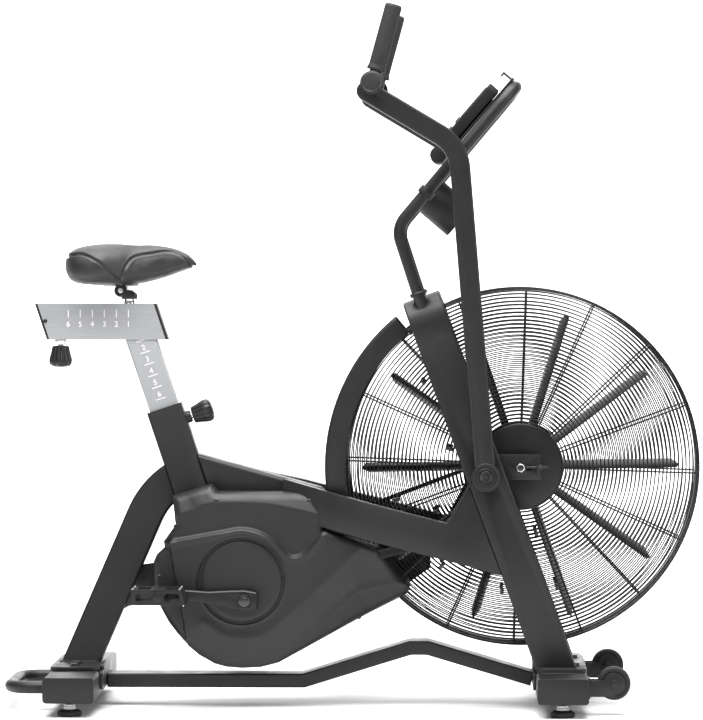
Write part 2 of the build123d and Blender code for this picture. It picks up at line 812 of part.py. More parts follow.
def pedal(s, label):
    """Platform pedal: a sheared box with two through windows and side rails."""
    angle = crank_angle if s < 0 else crank_angle - 180
    x, z = toward(crank_x, crank_z, angle, crank_length)
    long, tall, inner, outer = 50, 15, 140, 234
    lean_out = 8
    with BuildPart() as plate:
        with BuildSketch(side(s * inner)):
            with BuildLine():
                Polyline((x - long - lean_out / 2, z + tall), (x + long - lean_out / 2, z + tall),
                         (x + long + lean_out / 2, z - tall), (x - long + lean_out / 2, z - tall), close=True)
            make_face()
        extrude(amount=-s * (outer - inner))
        for dx in (-28, 28):
            with BuildSketch(side(s * inner)):
                with Locations((x + dx, z)):
                    RectangleRounded(30, 16, 6)
            extrude(amount=-s * (outer - inner), mode=Mode.SUBTRACT)
        with BuildSketch(Plane.XY.offset(z - tall)):
            for dx in (-28, 28):
                with Locations((x + dx, s * (inner + outer) / 2)):
                    RectangleRounded(26, 74, 6)
        extrude(amount=2 * tall, mode=Mode.SUBTRACT)
        with BuildSketch(side(s * inner)):
            with Locations((x, z)):
                Circle(7 + fit)
        extrude(amount=-s * (outer - inner), mode=Mode.SUBTRACT)
        with BuildSketch(side(s * outer)):
            with Locations((x, z)):
                Circle(11)
        extrude(amount=-s * 2.4)
    save(plate.part, label)


def link_rod(s, label):
    """Rod from the lever to the strap that faces the eccentric disc."""
    start, end = eccentric_centre(s), lever_pin()
    strap_in = 39
    with BuildPart() as rod:
        with BuildSketch(side(s * strap_y)):
            mitred_band([start, end], 9)
            with Locations(start):
                Circle(strap_in + 8)
            with Locations(end):
                Circle(14)
            with Locations(start):
                Circle(strap_in, mode=Mode.SUBTRACT)
            with Locations(end):
                Circle(6 + fit, mode=Mode.SUBTRACT)
        extrude(amount=-s * strap_thickness)
    save(rod.part, label)


def bearings():
    """Crank bearings in the bottom bracket and bushings of both handlebar pivots."""
    with BuildPart() as rings:
        for s in (-1, 1):
            with BuildSketch(side(s * 27)):
                with Locations((crank_x, crank_z)):
                    Circle(21)
                    Circle(crank_bore + fit, mode=Mode.SUBTRACT)
            extrude(amount=-s * 13)
            with BuildSketch(side(s * (fork_inner + 1))):
                with Locations((pivot_x, pivot_z)):
                    Circle(16)
                    Circle(12.5 + fit, mode=Mode.SUBTRACT)
            extrude(amount=-s * 34)
            with BuildSketch(side(s * fork_outer)):
                with Locations((pivot_x, pivot_z)):
                    Circle(23)
                    Circle(12.5 + fit, mode=Mode.SUBTRACT)
            extrude(amount=-s * 12)
    save(rings.part, "bearings")


# ---------------------------------------------------------------- handlebars
arm_inner, arm_outer, arm_deep = 172, 208, 40
arm_low, arm_corner, arm_end = (261, 488), (209, 1113), (30, 1220)
arm_hollow = [(258, 530), (212.6, 1070), (202, 1109), (172.1, 1135), (60, 1202)]
grip_tilt = 15.3
upright_grip, side_grip = (44, 1246), (40.5, 1236)
grip_reach = 300


def handlebar(s, label):
    """Bent arm with its pivot boss and the two steel stubs that carry the grips."""
    with BuildPart() as arm:
        with BuildSketch(side(s * arm_inner)):
            mitred_band([arm_low, arm_corner, arm_end], arm_deep / 2)
            with Locations(arm_end):
                Circle(arm_deep / 2)
        extrude(amount=-s * (arm_outer - arm_inner))
        corner = arm.edges().filter_by(Axis.Y).filter_by(
            lambda e: abs(e.center().X - arm_corner[0]) < 40 and abs(e.center().Z - arm_corner[1]) < 40)
        inner = corner.sort_by(Axis.X)[0]
        outer = corner.sort_by(Axis.X)[-1]
        fillet(outer, 104)
        inner = arm.edges().filter_by(Axis.Y).filter_by(
            lambda e: abs(e.center().X - arm_corner[0]) < 30 and abs(e.center().Z - arm_corner[1]) < 30)
        fillet(inner.sort_by(Axis.X)[0], 64)
        long_edges = arm.edges().filter_by(
            lambda e: min(abs(abs(e.center().Y) - arm_inner), abs(abs(e.center().Y) - arm_outer)) < 0.1
            and e.length > 50)
        fillet(long_edges, 5)
        with BuildSketch(side(s * (arm_inner + wall))):
            mitred_band(arm_hollow, arm_deep / 2 - 4.5)
        extrude(amount=-s * (arm_outer - arm_inner - 2 * wall), mode=Mode.SUBTRACT)
        with BuildSketch(side(s * 166)):
            with Locations((pivot_x, pivot_z)):
                Circle(28)
        extrude(amount=-s * 42)
        # shaft through the fork, with the lever inside and the pin of the link rod
        pin = lever_pin()
        with BuildSketch(side(s * 104)):
            mitred_band([(pivot_x, pivot_z), pin], 12)
            with Locations((pivot_x, pivot_z)):
                Circle(20)
            with Locations(pin):
                Circle(12)
        extrude(amount=-s * 8)
        with BuildSketch(side(s * 104)):
            with Locations((pivot_x, pivot_z)):
                Circle(12.5)
        extrude(amount=-s * 106)
        with BuildSketch(side(s * (strap_y - 1))):
            with Locations(pin):
                Circle(6)
        extrude(amount=-s * 12)
        tilt = radians(grip_tilt)
        with BuildSketch(Plane(origin=(40.2, s * 190, 1232), z_dir=(sin(tilt), 0, cos(tilt)))):
            Circle(12.5)
        extrude(amount=150)
        with BuildSketch(side(s * arm_outer)):
            with Locations(side_grip):
                Circle(12.5)
        extrude(amount=-s * 86)
    save(arm.part, label)


def grips(s, label):
    """Rubber sleeves on the upright and the sideways stub."""
    tilt = radians(grip_tilt)
    with BuildPart() as sleeves:
        base = Plane(origin=(48, s * 190, 1260.5), z_dir=(sin(tilt), 0, cos(tilt)))
        with BuildSketch(base):
            Circle(17)
        extrude(amount=134)
        fillet(sleeves.edges().sort_by(Axis.Z)[-1], 6)
        with BuildSketch(side(s * arm_outer)):
            with Locations(side_grip):
                Circle(19)
        extrude(amount=-s * (grip_reach - arm_outer))
        fillet(sleeves.edges().filter_by(lambda e: abs(abs(e.center().Y) - grip_reach) < 0.1), 4)
        with BuildSketch(side(s * arm_outer)):
            with Locations(side_grip):
                Circle(23)
        extrude(amount=-s * 8)
        with BuildSketch(Plane(origin=(40.2, s * 190, 1232), z_dir=(sin(tilt), 0, cos(tilt)))):
            Circle(12.5)
        extrude(amount=150, mode=Mode.SUBTRACT)
        with BuildSketch(side(s * arm_outer)):
            with Locations(side_grip):
                Circle(12.5)
        extrude(amount=-s * 86, mode=Mode.SUBTRACT)
    save(sleeves.part, label)


# ---------------------------------------------------------------- casing
casing_outline = [(-361, 420), (-283, 444), (-270, 429.5), (-61.5, 429.5), (-56, 396), (-56, 357),
                  (50, 323), (86, 273), (113, 244), (107, 228), (86, 214), (10, 175), (-74, 129),
                  (-147, 90)]
casing_back = [(-330, 127), (-366, 171), (-382, 200), (-396, 244), (-396, 291), (-390, 305),
               (-374, 319), (-376, 331), (-352, 364), (-355, 390)]


def casing_face(inset):
    """Outline of the casing: straight and curved top, tail, round belly below the crank."""
    with BuildLine() as outline:
        Polyline(*casing_outline)
        ThreePointArc(casing_outline[-1], (-220, 79.5), casing_back[0])
        Polyline(*casing_back, casing_outline[0])
    make_face(outline.edges())
    if inset:
        offset(amount=-inset, kind=Kind.INTERSECTION, mode=Mode.REPLACE)


cover_x, cover_z, cover_radius = -219, 253, 79
upper_run = (-58, 366)          # where the chain's upper run passes through the casing's edge


def guard_face(inset):
    """Outline of the chain guard between the casing and the fan axle."""
    with BuildLine() as outline:
        Polyline((-58, 392 - inset), (320 - inset, 516 - inset), (350, 512 - inset), (370 - inset, 486),
                 (364 - inset, 456), (345, 441 + inset), (170, 280 + inset), (100, 232 + inset),
                 (-58, 232 + inset), close=True)
    make_face(outline.edges())


def casing(s, label):
    with BuildPart() as shell:
        with BuildSketch(side(s * 0.1)):
            casing_face(0)
        extrude(amount=-s * (casing_width - 0.1))
        with BuildSketch(side(0)):
            casing_face(casing_wall)
        extrude(amount=-s * (casing_width - casing_wall), mode=Mode.SUBTRACT)
        # round cover over the crank, with a groove around it
        with BuildSketch(side(s * casing_width)):
            with Locations((cover_x, cover_z)):
                Circle(cover_radius + 8)
                Circle(cover_radius + 3, mode=Mode.SUBTRACT)
        extrude(amount=-s * 2)
        with BuildSketch(side(s * casing_width)):
            with Locations((cover_x, cover_z)):
                Circle(cover_radius)
        extrude(amount=-s * 2)
        with BuildSketch(side(s * 90)):
            with Locations((crank_x, crank_z)):
                Circle(16)
        extrude(amount=-s * 30, mode=Mode.SUBTRACT)
        # room for the cage, the frame tubes, the link rod and the beam
        with BuildSketch(side(0)):
            with Locations((fan_x, fan_z)):
                Circle(cage_radius + 3)
        extrude(amount=cage_half_width + 3, both=True, mode=Mode.SUBTRACT)
        with BuildSketch(side(0)):
            with Locations((-200, 440)):
                Rectangle(285, 170)
        extrude(amount=34.5, both=True, mode=Mode.SUBTRACT)
        with BuildSketch(side(0)):
            with Locations((-350, 400)):
                Rectangle(140, 120)
        extrude(amount=27, both=True, mode=Mode.SUBTRACT)
        with BuildSketch(side(0)):
            with Locations((-400, 240)):
                Rectangle(60, 110)
        extrude(amount=4.5, both=True, mode=Mode.SUBTRACT)
        notches = ((-145, -50, 104.5),) if s < 0 else ((-200, -144, 104.5), (-146, -50, 200))
        for rear, front, reach in notches:
            with BuildSketch(side(s * 30)):
                beam_band(38.2, rear, front)
            extrude(amount=-s * (reach - 30), mode=Mode.SUBTRACT)
        with BuildSketch(side(s * 94.5)):
            mitred_band([(crank_x, crank_z), lever_pin()], 40)
        extrude(amount=-s * 10, mode=Mode.SUBTRACT)
        if s > 0:
            with BuildSketch(side(79)):
                guard_face(3)
                with Locations(upper_run):
                    Rectangle(10, 34)
            extrude(amount=-14.5, mode=Mode.SUBTRACT)
    save(shell.part, label)


guard_end = 153


def chain_guard():
    """Short box over the chain where it leaves the casing."""
    with BuildPart() as guard:
        with BuildSketch(side(79)):
            guard_face(0)
        extrude(amount=-14.5)
        with BuildSketch(side(81)):
            guard_face(2.5)
        extrude(amount=-10.5, mode=Mode.SUBTRACT)
        with BuildSketch(side(0)):
            casing_face(0)
        extrude(amount=-200, mode=Mode.SUBTRACT)
        with BuildSketch(side(70)):
            with Locations((fan_x, fan_z)):
                Circle(barrel_radius + 2)
        extrude(amount=-40, mode=Mode.SUBTRACT)
        with BuildSketch(side(0)):
            with Locations((-65, 310)):
                Rectangle(20, 300)
        extrude(amount=-200, mode=Mode.SUBTRACT)
        # cut short behind the beam, where the chain runs on in the open
        with BuildSketch(side(0)):
            with Locations((guard_end + 200, 400)):
                Rectangle(400, 500)
            with BuildLine() as above:
                Polyline((-100, beam_z(-100) + 30), (300, beam_z(300) + 30), (300, 700), (-100, 700), close=True)
            make_face(above.edges())
        extrude(amount=-200, mode=Mode.SUBTRACT)
    save(guard.part, "chain_guard")


# ---------------------------------------------------------------- seat
axis_x, axis_z = -sin(radians(lean)), cos(radians(lean))
post_pitch, rail_pitch, marks = 24.5, 24.0, 6
post_insert = 150
slider_clear = 0.05
saddle_pivot = (-466, 829)


def rail_profile(rear, front, low, high):
    """Slanted side view of the rail between two places on its bottom edge."""
    lean_x = (rail_top - rail_bottom) * tan(radians(lean))

    def at(x, z):
        return (x - lean_x * (z - rail_bottom) / (rail_top - rail_bottom), z)

    with BuildLine() as outline:
        Polyline(at(rear, low), at(front, low), at(front, high), at(rear, high), close=True)
    make_face(outline.edges())


def seat_post():
    top = leaning_plane(sleeve_x, sleeve_z, lean)
    with BuildPart() as post:
        with BuildSketch(top.offset(-post_insert)):
            RectangleRounded(post_depth, post_width, 5)
            RectangleRounded(post_depth - 2 * wall, post_width - 2 * wall, 3, mode=Mode.SUBTRACT)
        extrude(amount=340)
        split(bisect_by=Plane.XY.offset(rail_bottom), keep=Keep.BOTTOM)
        for i in range(marks):
            with BuildSketch(pin_hole_plane(i * post_pitch)):
                Circle(5.5)
            extrude(amount=40, mode=Mode.SUBTRACT)
    save(post.part, "seat_post")


def pin_hole_plane(up):
    """Plane inside the post, square to its front face, at a height above the pin along the post."""
    base = pin_plane(-20)
    origin = (base.origin.X + axis_x * up, 0, base.origin.Z + axis_z * up)
    return Plane(origin=origin, x_dir=(0, 1, 0), z_dir=base.z_dir)


rail_rear, rail_front = -609, -376
fore_aft_x = -588


def seat_rail():
    """Slotted steel rail with the collar of its pull pin."""
    half = rail_width / 2
    with BuildPart() as rail:
        with BuildSketch(side(0)):
            rail_profile(rail_rear, rail_front, rail_bottom, rail_top)
        extrude(amount=half, both=True)
        with BuildSketch(side(0)):
            rail_profile(rail_rear - 5, rail_front + 5, rail_bottom + wall, rail_top - wall)
        extrude(amount=half - wall, both=True, mode=Mode.SUBTRACT)
        with BuildSketch(Plane.XY.offset(rail_top - 10)):
            with Locations(((saddle_post_x * 2 - rail_pitch * 5) / 2, 0)):
                SlotCenterToCenter(rail_pitch * 5, 25)
        extrude(amount=20, mode=Mode.SUBTRACT)
        with BuildSketch(Plane.XY.offset(rail_bottom)):
            with Locations((fore_aft_x, 0)):
                Circle(12)
        extrude(amount=-8)
        with BuildSketch(Plane.XY.offset(rail_bottom - 12)):
            with Locations((fore_aft_x, 0)):
                Circle(6 + fit)
        extrude(amount=20, mode=Mode.SUBTRACT)
    save(rail.part, "seat_rail")


def rail_end_caps():
    """Plastic ring at the open rear end and closed cap at the front end of the rail."""
    half = rail_width / 2
    with BuildPart() as caps:
        with BuildSketch(side(0)):
            rail_profile(rail_rear - 5, rail_rear, rail_bottom, rail_top)
        extrude(amount=half, both=True)
        with BuildSketch(side(0)):
            rail_profile(rail_rear - 9, rail_rear + 3, rail_bottom + wall - 0.1, rail_top - wall + 0.1)
        extrude(amount=half - wall + 0.1, both=True, mode=Mode.SUBTRACT)
        with BuildSketch(side(0)):
            rail_profile(rail_front, rail_front + 5, rail_bottom, rail_top)
        extrude(amount=half, both=True)
    save(caps.part, "rail_end_caps")


def seat_slider():
    """Tube that slides in the rail and carries the chrome saddle post."""
    half = rail_width / 2 - wall - slider_clear
    low, high = rail_bottom + wall + slider_clear, rail_top - wall - slider_clear
    rear, front = rail_rear - 5, rail_front - 28
    with BuildPart() as slider:
        with BuildSketch(side(0)):
            rail_profile(rear, front, low, high)
        extrude(amount=half, both=True)
        with BuildSketch(side(0)):
            rail_profile(rear + 8, front + 5, low + 3, high - 3)
        extrude(amount=half - 3, both=True, mode=Mode.SUBTRACT)
        for i in range(marks):
            with BuildSketch(Plane.XY.offset(low - 1)):
                with Locations((fore_aft_x + i * rail_pitch, 0)):
                    Circle(5.5)
            extrude(amount=6, mode=Mode.SUBTRACT)
        with BuildSketch(Plane.XY.offset(high - 3)):
            with Locations((saddle_post_x, 0)):
                Circle(11)
        extrude(amount=816 - high + 3)
        add(saddle_clamp())
    save(slider.part, "seat_slider")


def saddle_clamp():
    """Clamp head on the saddle post, with the two ears of the tilt bolt."""
    with BuildPart() as clamp:
        with BuildSketch(Plane.XY.offset(812)):
            with Locations((saddle_post_x, 0)):
                Circle(16)
        extrude(amount=10)
        for s in (-1, 1):
            with BuildSketch(side(s * 15.4)):
                with Locations(saddle_pivot):
                    Circle(13)
                with BuildLine():
                    Polyline((-466, 816), (-440, 812), (-436, 822), (-446, 830), (-466, 830), close=True)
                make_face()
                with Locations(saddle_pivot):
                    Circle(5 + fit, mode=Mode.SUBTRACT)
            extrude(amount=-s * 6)
        with BuildSketch(Plane.XY.offset(812)):
            with Locations((saddle_post_x - 2, 0)):
                Rectangle(20, 42)
        extrude(amount=8)
        with BuildSketch(Plane.XY.offset(800)):
            with Locations((saddle_post_x, 0)):
                Circle(11)
        extrude(amount=16, mode=Mode.SUBTRACT)
        with BuildSketch(side(0)):
            with Locations(saddle_pivot):
                Circle(13)
        extrude(amount=15.3, both=True, mode=Mode.SUBTRACT)
    return clamp.part


def saddle_rails():
    """Tilt barrel, bolt and the support plate under the saddle."""
    x, z = saddle_pivot
    with BuildPart() as rails:
        with BuildSketch(side(0)):
            with Locations(saddle_pivot):
                Circle(12)
        extrude(amount=15, both=True)
        with BuildSketch(side(0)):
            with Locations(saddle_pivot):
                Circle(5)
        extrude(amount=25, both=True)
        with BuildSketch(Plane.XY.offset(z + 8)):
            with Locations((x, 0)):
                Rectangle(70, 30)
        extrude(amount=8)
    save(rails.part, "saddle_support")


def saddle():
    """Closed form of the padded saddle; wide at the back, with a narrow nose."""
    with BuildPart() as seat:
        with BuildSketch(side(0)):
            with BuildLine():
                Spline((-575, 890), (-548, 915), (-510, 922), (-435, 917), (-360, 913), (-322, 899),
                       (-313, 880))
                Line((-313, 880), (-345, 867))
                Line((-345, 867), (-430, 845.5))
                Line((-430, 845.5), (-540, 845.5))
                Spline((-540, 845.5), (-572, 855), (-575, 890))
            make_face()
        extrude(amount=120, both=True)
        with BuildSketch(Plane.XY.offset(800)):
            with BuildLine():
                Spline((-577, 0), (-560, 78), (-515, 103), (-460, 72), (-400, 38), (-330, 28), (-313, 0))
                Spline((-313, 0), (-330, -28), (-400, -38), (-460, -72), (-515, -103), (-560, -78),
                       (-577, 0))
            make_face()
        extrude(amount=200, mode=Mode.INTERSECT)
    save(seat.part, "saddle")


def pull_knob(plane, reach, label):
    """Sprung pull pin: stem and pin along the plane's normal, with a tapered ribbed knob."""
    with BuildPart() as knob:
        with BuildSketch(plane.offset(-reach)):
            Circle(5)
        extrude(amount=reach + 14)
        with BuildSketch(plane.offset(12.3)):
            Circle(18)
        with BuildSketch(plane.offset(46)):
            Circle(23.5)
        loft()
        with BuildSketch(plane.offset(46)):
            Circle(23.5)
        with BuildSketch(plane.offset(55)):
            Circle(18)
        loft()
        for i in range(14):
            t = radians(360 * i / 14)
            with BuildSketch(plane.offset(12)):
                with Locations((22.5 * cos(t), 22.5 * sin(t))):
                    Circle(2.6)
            extrude(amount=45, mode=Mode.SUBTRACT)
    save(knob.part, label)


# ---------------------------------------------------------------- console
console_angle = 49.3
console_low = (196, 1152)


def console_plane(along, out, y=0.0):
    """Plane on the console's face: local x is Y, local y runs up the slope, normal to the rider."""
    a = radians(console_angle)
    return Plane(origin=(console_low[0] + along * cos(a) - out * sin(a), y,
                         console_low[1] + along * sin(a) + out * cos(a)),
                 x_dir=(0, -1, 0), z_dir=(-sin(a), 0, cos(a)))


def console_body():
    """Console housing and its mounting plate on the stem."""
    with BuildPart() as body:
        with BuildSketch(console_plane(40, -22)):
            RectangleRounded(196, 152, 14)
        extrude(amount=22)
        fillet(body.faces().sort_by(Axis((0, 0, 0), console_plane(0, 0).z_dir))[-1].edges(), 3)
        with BuildSketch(console_plane(66, -1.5)):
            RectangleRounded(150, 72, 5)
        extrude(amount=5, mode=Mode.SUBTRACT)
        for y, along in button_places():
            with BuildSketch(console_plane(along, -8, y)):
                RectangleRounded(60.6, 13.6, 4)
            extrude(amount=20, mode=Mode.SUBTRACT)
        with BuildSketch(console_plane(40, -26.2)):
            RectangleRounded(120, 110, 8)
        extrude(amount=5)
    save(body.part, "console_body")


def button_places():
    return [(y, along) for along in (20, -4) for y in (-42, 42)]


def console_button(y, along, label):
    with BuildPart() as button:
        with BuildSketch(console_plane(along, -4, y)):
            RectangleRounded(60, 13, 3.7)
        extrude(amount=8)
    save(button.part, label)


def device_holder():
    """Plate behind the console that carries a phone or tablet, with its hook and its ledge."""
    with BuildPart() as holder:
        with BuildSketch(console_plane(53, -31.2)):
            RectangleRounded(200, 200, 10)
        extrude(amount=5)
        # ledge below and sprung hook above
        with BuildSketch(side(0)):
            with Locations((169, 1098)):
                Circle(16.5)
        extrude(amount=90, both=True)
        with BuildSketch(console_plane(151.5, -31.2)):
            Rectangle(60, 3)
        extrude(amount=27)
        with BuildSketch(console_plane(148, -7.2)):
            Rectangle(60, 10)
        extrude(amount=3)
    save(holder.part, "device_holder")


def bottle_holder():
    """Open cup between the stem tubes."""
    a = radians(console_angle)
    with BuildPart() as cup:
        axis_plane = Plane(origin=(150, 0, 1021), x_dir=(0, 1, 0), z_dir=(sin(a), 0, -cos(a)))
        with BuildSketch(axis_plane):
            Circle(39)
        extrude(amount=82)
        with BuildSketch(axis_plane):
            Circle(36.5)
        extrude(amount=79, mode=Mode.SUBTRACT)
    save(cup.part, "bottle_holder")


def bottle_bracket():
    """Bars from the cup out to a clamp ring on each stem tube."""
    with BuildPart() as bracket:
        run = atan2(stem_top[1] - stem_corner[1], stem_top[0] - stem_corner[0])
        along = (cos(run), 0, sin(run))
        x = 146
        z = stem_corner[1] + (x - stem_corner[0]) * tan(run)
        for s in (-1, 1):
            with BuildSketch(side(s * 39.1)):
                with Locations((x + 6, z - 4)):
                    Rectangle(8, 8)
            extrude(amount=-s * (stem_y - stem_radius - 41))
            with BuildSketch(Plane(origin=(x, s * stem_y, z), x_dir=(0, 1, 0), z_dir=along)):
                Circle(stem_radius + 4)
                Circle(stem_radius + fit, mode=Mode.SUBTRACT)
            extrude(amount=8, both=True)
    save(bracket.part, "bottle_bracket")


# ---------------------------------------------------------------- wheels
def wheel_brackets():
    with BuildPart() as brackets:
        for s in (-1, 1):
            y = s * wheel_y
            with BuildSketch(Plane.YZ.offset(front_beam_x + beam_depth / 2)):
                with Locations((y, 53)):
                    Rectangle(44, 40)
            extrude(amount=4)
            for t in (-1, 1):
                with BuildSketch(side(y + t * 18)):
                    with Locations((wheel_x, wheel_z)):
                        Circle(22)
                    with Locations(((463 + wheel_x) / 2, 53)):
                        Rectangle(wheel_x - 463, 32)
                    with Locations((wheel_x, wheel_z)):
                        Circle(5, mode=Mode.SUBTRACT)
                extrude(amount=2, both=True)
            with BuildSketch(side(y)):
                with Locations((wheel_x, wheel_z)):
                    Circle(5)
            extrude(amount=23, both=True)
            for t in (-1, 1):
                with BuildSketch(side(y + t * 20)):
                    with Locations((wheel_x, wheel_z)):
                        RegularPolygon(8, 6)
                extrude(amount=-t * 6)
    return brackets.part


def transport_wheel(s, label):
    y = s * wheel_y
    half = wheel_width / 2
    with BuildPart() as wheel:
        with BuildSketch(Plane.XY.offset(wheel_z)):
            with Locations((wheel_x + (wheel_radius + 5 + fit) / 2, y)):
                RectangleRounded(wheel_radius - 5 - fit, 2 * half, 5)
            for t in (-1, 1):
                with Locations((wheel_x + 17, y + t * half)):
                    Rectangle(10, 8, mode=Mode.SUBTRACT)
        revolve(axis=Axis((wheel_x, y, wheel_z), (0, 1, 0)))
    save(wheel.part, label)


# ---------------------------------------------------------------- build everything
hands = (("right", -1), ("left", 1))
stabilizer(rear_beam_x, "rear_stabilizer")
stabilizer(front_beam_x, "front_stabilizer")
stabilizer_end_caps()
for row, x in (("rear", rear_beam_x), ("front", front_beam_x)):
    for hand, s in hands:
        levelling_foot(x, s * foot_y, f"{row}_{hand}_foot")
base_rail()
rear_leg()
seat_tube()
seat_bushing()
top_tube()
fork_crown()
console_stem()
grab_handle()
cage_rings()
fan_shroud()
axle_plates()
fan_axle()
fan_wheel()
chainring()
drive_chain()
crank_axle()
crank_arms()
bearings()
chain_guard()
seat_post()
seat_rail()
rail_end_caps()
seat_slider()
saddle_rails()
saddle()
pull_knob(pin_plane(), 2.6, "height_knob")
pull_knob(Plane(origin=(fore_aft_x, 0, rail_bottom), z_dir=(0, 0, -1)), 2.6, "fore_aft_knob")
console_body()
device_holder()
bottle_holder()
bottle_bracket()
for i, (y, along) in enumerate(button_places()):
    console_button(y, along, f"console_button_{i + 1}")
for hand, s in hands:
    fork_leg(s, f"{hand}_fork_leg")
    side_beam(s, f"{hand}_side_beam")
    cage_frame(s, f"{hand}_cage_frame")
    pedal(s, f"{hand}_pedal")
    link_rod(s, f"{hand}_link_rod")
    handlebar(s, f"{hand}_handlebar")
    grips(s, f"{hand}_grips")
    casing(s, f"{hand}_casing")
    transport_wheel(s, f"{hand}_wheel")
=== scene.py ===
"""Looks of the air bike, built around its CAD frame. Metres, in the row frame."""

import bpy
import bmesh
import json
import random
from math import atan2, cos, degrees, exp, hypot, pi, radians, sin, sqrt, tan
from mathutils import Matrix, Vector
from mathutils.geometry import delaunay_2d_cdt


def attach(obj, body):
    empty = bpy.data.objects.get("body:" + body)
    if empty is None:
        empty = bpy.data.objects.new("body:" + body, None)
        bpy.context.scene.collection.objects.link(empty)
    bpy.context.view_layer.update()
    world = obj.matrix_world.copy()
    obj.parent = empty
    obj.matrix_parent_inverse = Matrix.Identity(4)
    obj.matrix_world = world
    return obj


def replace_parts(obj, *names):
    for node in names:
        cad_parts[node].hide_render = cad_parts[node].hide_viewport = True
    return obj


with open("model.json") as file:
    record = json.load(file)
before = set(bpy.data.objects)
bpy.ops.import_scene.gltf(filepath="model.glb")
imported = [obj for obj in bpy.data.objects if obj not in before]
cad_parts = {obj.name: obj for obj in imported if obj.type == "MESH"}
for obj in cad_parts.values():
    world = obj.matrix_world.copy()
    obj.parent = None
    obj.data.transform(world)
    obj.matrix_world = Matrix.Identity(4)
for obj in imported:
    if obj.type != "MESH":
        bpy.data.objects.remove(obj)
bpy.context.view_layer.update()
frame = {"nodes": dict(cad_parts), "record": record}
nodes = frame["nodes"]
body_of = {n: b for b, ns in frame["record"]["behaviour"]["bodies"].items() for n in ns}
slot_of = {s["node"]: s["material_slot"] for s in frame["record"]["subparts"]}
scene = bpy.context.scene
hands = (("right", -1), ("left", 1))


# ------------------------------------------------------------------ materials
def shader(name):
    mat = bpy.data.materials.new(name)
    mat.use_nodes = True
    tree = mat.node_tree
    return mat, tree, tree.nodes["Principled BSDF"]


def add(tree, kind, **inputs):
    node = tree.nodes.new(kind)
    for key, value in inputs.items():
        node.inputs[key.replace("_", " ")].default_value = value
    return node


def coords(tree, scale=(1, 1, 1), turn=(0, 0, 0)):
    """Coordinates of the piece itself, stretched for grain that runs one way."""
    tc = tree.nodes.new("ShaderNodeTexCoord")
    mapping = add(tree, "ShaderNodeMapping", Scale=scale, Rotation=turn)
    tree.links.new(tc.outputs["Object"], mapping.inputs["Vector"])
    return mapping.outputs["Vector"]


def noise(tree, vector, scale, detail=3.0, rough=0.55):
    node = add(tree, "ShaderNodeTexNoise", Scale=scale, Detail=detail, Roughness=rough)
    tree.links.new(vector, node.inputs["Vector"])
    return node.outputs["Fac"]


def ramp(tree, value, low, high, start=0.3, end=0.7):
    """Map a grey value to a range of numbers or between two colours."""
    if isinstance(low, (int, float)):
        node = tree.nodes.new("ShaderNodeMapRange")
        for key, number in (("From Min", start), ("From Max", end), ("To Min", low), ("To Max", high)):
            node.inputs[key].default_value = number
        tree.links.new(value, node.inputs["Value"])
        return node.outputs["Result"]
    node = tree.nodes.new("ShaderNodeValToRGB")
    node.color_ramp.elements[0].position, node.color_ramp.elements[1].position = start, end
    node.color_ramp.elements[0].color, node.color_ramp.elements[1].color = (*low, 1), (*high, 1)
    tree.links.new(value, node.inputs["Fac"])
    return node.outputs["Color"]


def bump(tree, shade, height, strength, distance):
    node = add(tree, "ShaderNodeBump", Strength=strength, Distance=distance)
    tree.links.new(height, node.inputs["Height"])
    tree.links.new(node.outputs["Normal"], shade.inputs["Normal"])
    return node


def worn(tree, colour, edge_colour, start=0.53, end=0.62):
    """Lighten the colour along sharp outside edges, broken up by noise."""
    geo = tree.nodes.new("ShaderNodeNewGeometry")
    edge = ramp(tree, geo.outputs["Pointiness"], 0.0, 1.0, start, end)
    patch = ramp(tree, noise(tree, coords(tree), 60), 0.0, 1.0, 0.42, 0.66)
    both = tree.nodes.new("ShaderNodeMath")
    both.operation = "MULTIPLY"
    tree.links.new(edge, both.inputs[0])
    tree.links.new(patch, both.inputs[1])
    mix = tree.nodes.new("ShaderNodeMix")
    mix.data_type = "RGBA"
    tree.links.new(both.outputs[0], mix.inputs["Factor"])
    tree.links.new(colour, mix.inputs["A"])
    mix.inputs["B"].default_value = (*edge_colour, 1)
    return mix.outputs["Result"]


def coated(name, base, rough, metallic=0.0, grain=1400, depth=0.00006, spread=0.12, wear=None):
    """Painted or moulded surface: fine grain, cloudy roughness, slight colour drift."""
    mat, tree, shade = shader(name)
    here = coords(tree)
    drift = noise(tree, here, 7, 4)
    dark = tuple(c * (1 - spread) for c in base)
    light = tuple(c * (1 + spread) for c in base)
    colour = ramp(tree, drift, dark, light)
    if wear:
        colour = worn(tree, colour, wear)
    tree.links.new(colour, shade.inputs["Base Color"])
    tree.links.new(ramp(tree, noise(tree, here, 26, 5), rough - 0.05, rough + 0.07), shade.inputs["Roughness"])
    shade.inputs["Metallic"].default_value = metallic
    shade.inputs["Specular IOR Level"].default_value = 0.3
    bump(tree, shade, noise(tree, here, grain, 2), 0.5, depth)
    return mat


def brushed(name, base, rough, stretch, turn=(0, 0, 0), depth=0.00003, metallic=1.0):
    """Bare metal with streaks along one direction."""
    mat, tree, shade = shader(name)
    streak = noise(tree, coords(tree, stretch, turn), 1.0, 6, 0.65)
    tree.links.new(ramp(tree, streak, tuple(c * 0.86 for c in base), tuple(min(1, c * 1.08) for c in base),
                        0.25, 0.75), shade.inputs["Base Color"])
    tree.links.new(ramp(tree, streak, rough - 0.06, rough + 0.1, 0.25, 0.75), shade.inputs["Roughness"])
    shade.inputs["Metallic"].default_value = metallic
    shade.inputs["Anisotropic"].default_value = 0.5
    bump(tree, shade, streak, 0.25, depth)
    return mat


